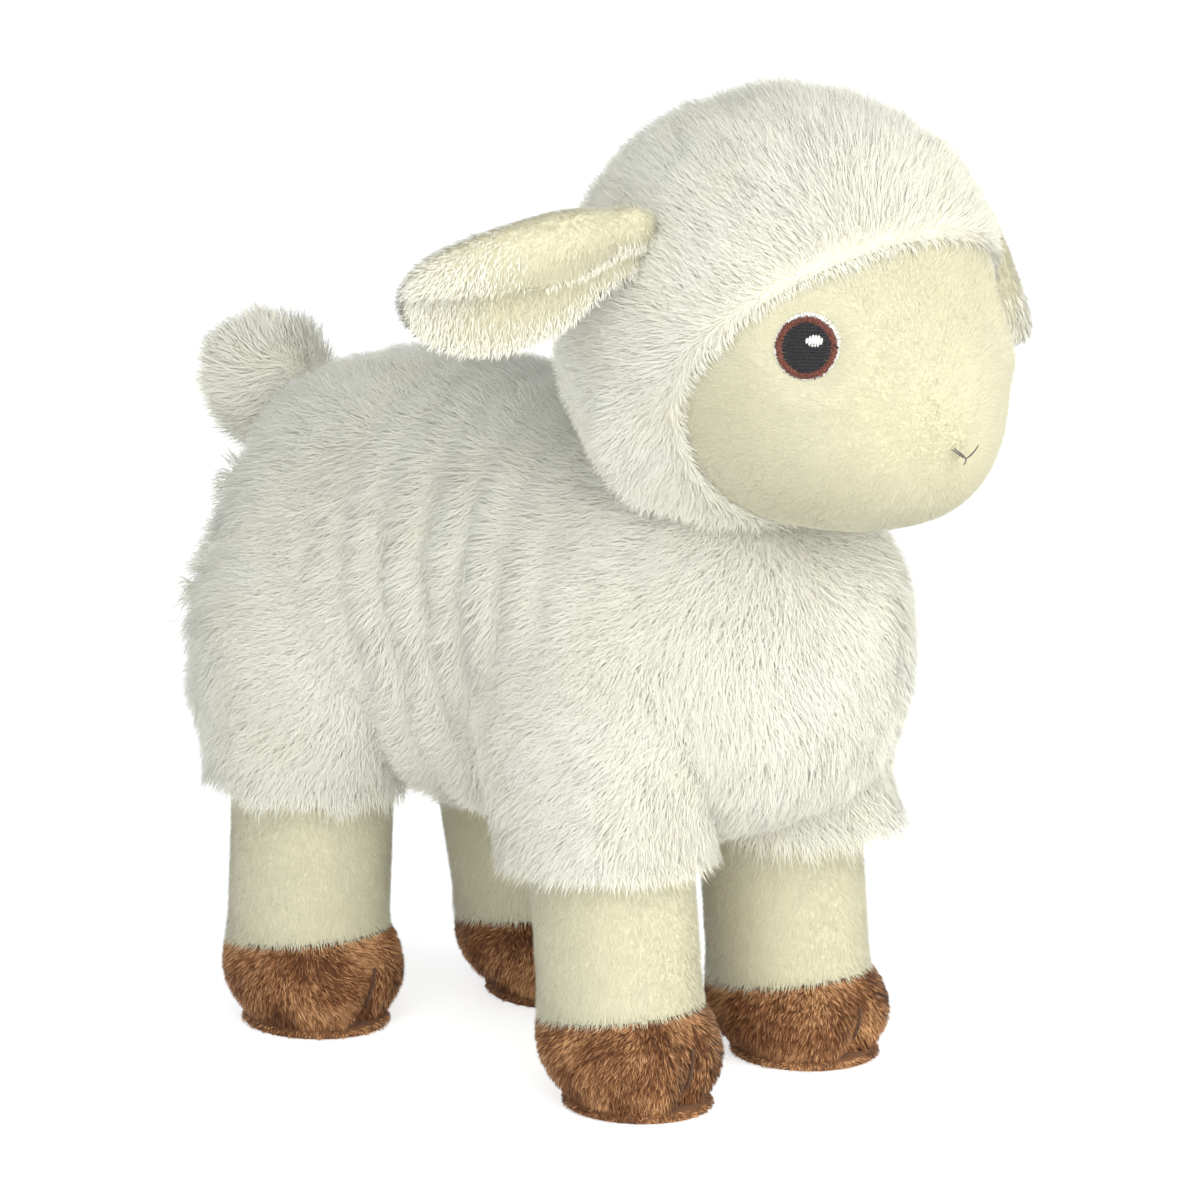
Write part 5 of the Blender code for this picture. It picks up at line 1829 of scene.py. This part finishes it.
# Floor, light and camera
studio = {
    "azimuthDegrees": -48.0,
    "elevationDegrees": 15.0,
    "distance": 3.0,
    "lens": 389.6,
    "sensor": 36.0,
    "farthest": 20.0,
    "aim": (0, 0.0045, 0.11),
    "aimRight": 0.0104,
    "aimUp": -0.00485,
    "lampSize": 2.0,
    "lampDistance": 1.6,
    "lampHeight": 0.12,
    "tent": ((0.0, (0.95, 0.97, 1.0)), (0.3, (0.89, 0.93, 0.98)), (1.0, (0.38, 0.40, 0.43))),
    "tentStrength": 0.54,
    "floorHalf": 4.0,
    "floorGlow": 0.6,
}
# Each lamp: how far rightward, upward and towards the camera it stands, its power and its colour
lamps = {
    "keyLamp": (1.0, 0.36, 0.9, 20, (1.0, 0.975, 0.89)),
    "fillLamp": (-0.08, 0.15, 1.0, 22, (0.985, 0.985, 0.985)),
    "backLamp": (0.1, 0.05, -1.0, 30, (1.0, 0.99, 0.96)),
}


def addThing(name, data):
    thing = bpy.data.objects.new(name, data)
    bpy.context.scene.collection.objects.link(thing)
    return thing


def makeCamera():
    azimuth = math.radians(studio["azimuthDegrees"])
    elevation = math.radians(studio["elevationDegrees"])
    right = np.array([math.cos(azimuth), math.sin(azimuth), 0])
    level = np.array([-math.sin(azimuth), math.cos(azimuth), 0]) * math.cos(elevation)
    look = level - np.array([0, 0, math.sin(elevation)])
    up = np.cross(right, look)
    aim = torso["origin"] + np.array(studio["aim"])
    aim = aim + studio["aimRight"] * right + studio["aimUp"] * up
    data = bpy.data.cameras.new("photoCamera")
    data.lens = studio["lens"]
    data.sensor_width = studio["sensor"]
    data.clip_end = studio["farthest"]
    camera = addThing("photoCamera", data)
    rows = np.stack([right, up, -look, aim - look * studio["distance"]], axis=1)
    camera.matrix_world = Matrix([*rows.tolist(), (0, 0, 0, 1)])
    bpy.context.scene.camera = camera
    return right, look


def makeLamp(name, rightward, upward, toward, power, colour):
    data = bpy.data.lights.new(name, "AREA")
    data.shape = "DISK"
    data.size = studio["lampSize"]
    data.energy = power
    data.color = colour
    lamp = addThing(name, data)
    away = unit(rightward * cameraRight + upward * np.array([0, 0, 1.0]) - toward * cameraLook)
    middle = torso["origin"] + np.array([0, 0, studio["lampHeight"]])
    lamp.location = middle + away * studio["lampDistance"]
    lamp.rotation_euler = Vector(-away).to_track_quat("-Z", "Y").to_euler()


# A light tent: bright round the sides and dimmer overhead. The camera sees plain white, and so
# does light that is mirrored or passes through.
def makeWorld():
    world = bpy.data.worlds.new("studioWorld")
    bpy.context.scene.world = world
    world.use_nodes = True
    tree = world.node_tree
    background = tree.nodes["Background"]
    setInputs(background, {"Strength": studio["tentStrength"]})
    coordinates = addNode(tree, "TexCoord")
    parts = addNode(tree, "SeparateXYZ")
    tent = addRamp(tree, studio["tent"])
    white = addNode(tree, "Background", {"Color": (1, 1, 1, 1), "Strength": 1.0})
    path = addNode(tree, "LightPath")
    glossy = addNode(tree, "Math", operation="ADD", use_clamp=True)
    through = addNode(tree, "Math", operation="ADD", use_clamp=True)
    mix = addNode(tree, "MixShader")
    addWires(tree, (
        (coordinates, "Generated", parts, "Vector"),
        (parts, "Z", tent, "Fac"),
        (tent, "Color", background, "Color"),
        (path, "Is Camera Ray", glossy, 0),
        (path, "Is Glossy Ray", glossy, 1),
        (glossy, 0, through, 0),
        (path, "Is Transmission Ray", through, 1),
        (through, 0, mix, "Fac"),
        (background, 0, mix, 1),
        (white, 0, mix, 2),
        (mix, 0, tree.nodes["World Output"], "Surface"),
    ))


# The floor is white to the camera, less the object's shadow
def makeFloor():
    half = studio["floorHalf"]
    corners = np.array([(-half, -half, 0), (half, -half, 0), (half, half, 0), (-half, half, 0)])
    material = bpy.data.materials.new("studioFloor")
    material.use_nodes = True
    tree = material.node_tree
    shader = tree.nodes["Principled BSDF"]
    setInputs(shader, {"Base Color": (0.9, 0.9, 0.9, 1), "Roughness": 1.0, "Specular IOR Level": 0.0})
    floor = makeMesh("studioFloor", corners, [np.array([[0, 1, 2, 3]])], material)
    emission = addNode(tree, "Emission", {"Strength": studio["floorGlow"]})
    add = addNode(tree, "AddShader")
    path = addNode(tree, "LightPath")
    mix = addNode(tree, "MixShader")
    addWires(tree, (
        (shader, 0, add, 0),
        (emission, 0, add, 1),
        (path, "Is Camera Ray", mix, "Fac"),
        (shader, 0, mix, 1),
        (add, 0, mix, 2),
        (mix, 0, tree.nodes["Material Output"], "Surface"),
    ))


cameraRight, cameraLook = makeCamera()
for lampName, lampPlace in lamps.items():
    makeLamp(lampName, *lampPlace)
makeWorld()
makeFloor()
meshes = [thing.data for thing in bpy.data.objects if thing.type == "MESH"]
print("triangles", sum(len(mesh.loops) - 2 * len(mesh.polygons) for mesh in meshes))
bpy.context.scene.view_settings.view_transform = "Standard"
print("scene made")
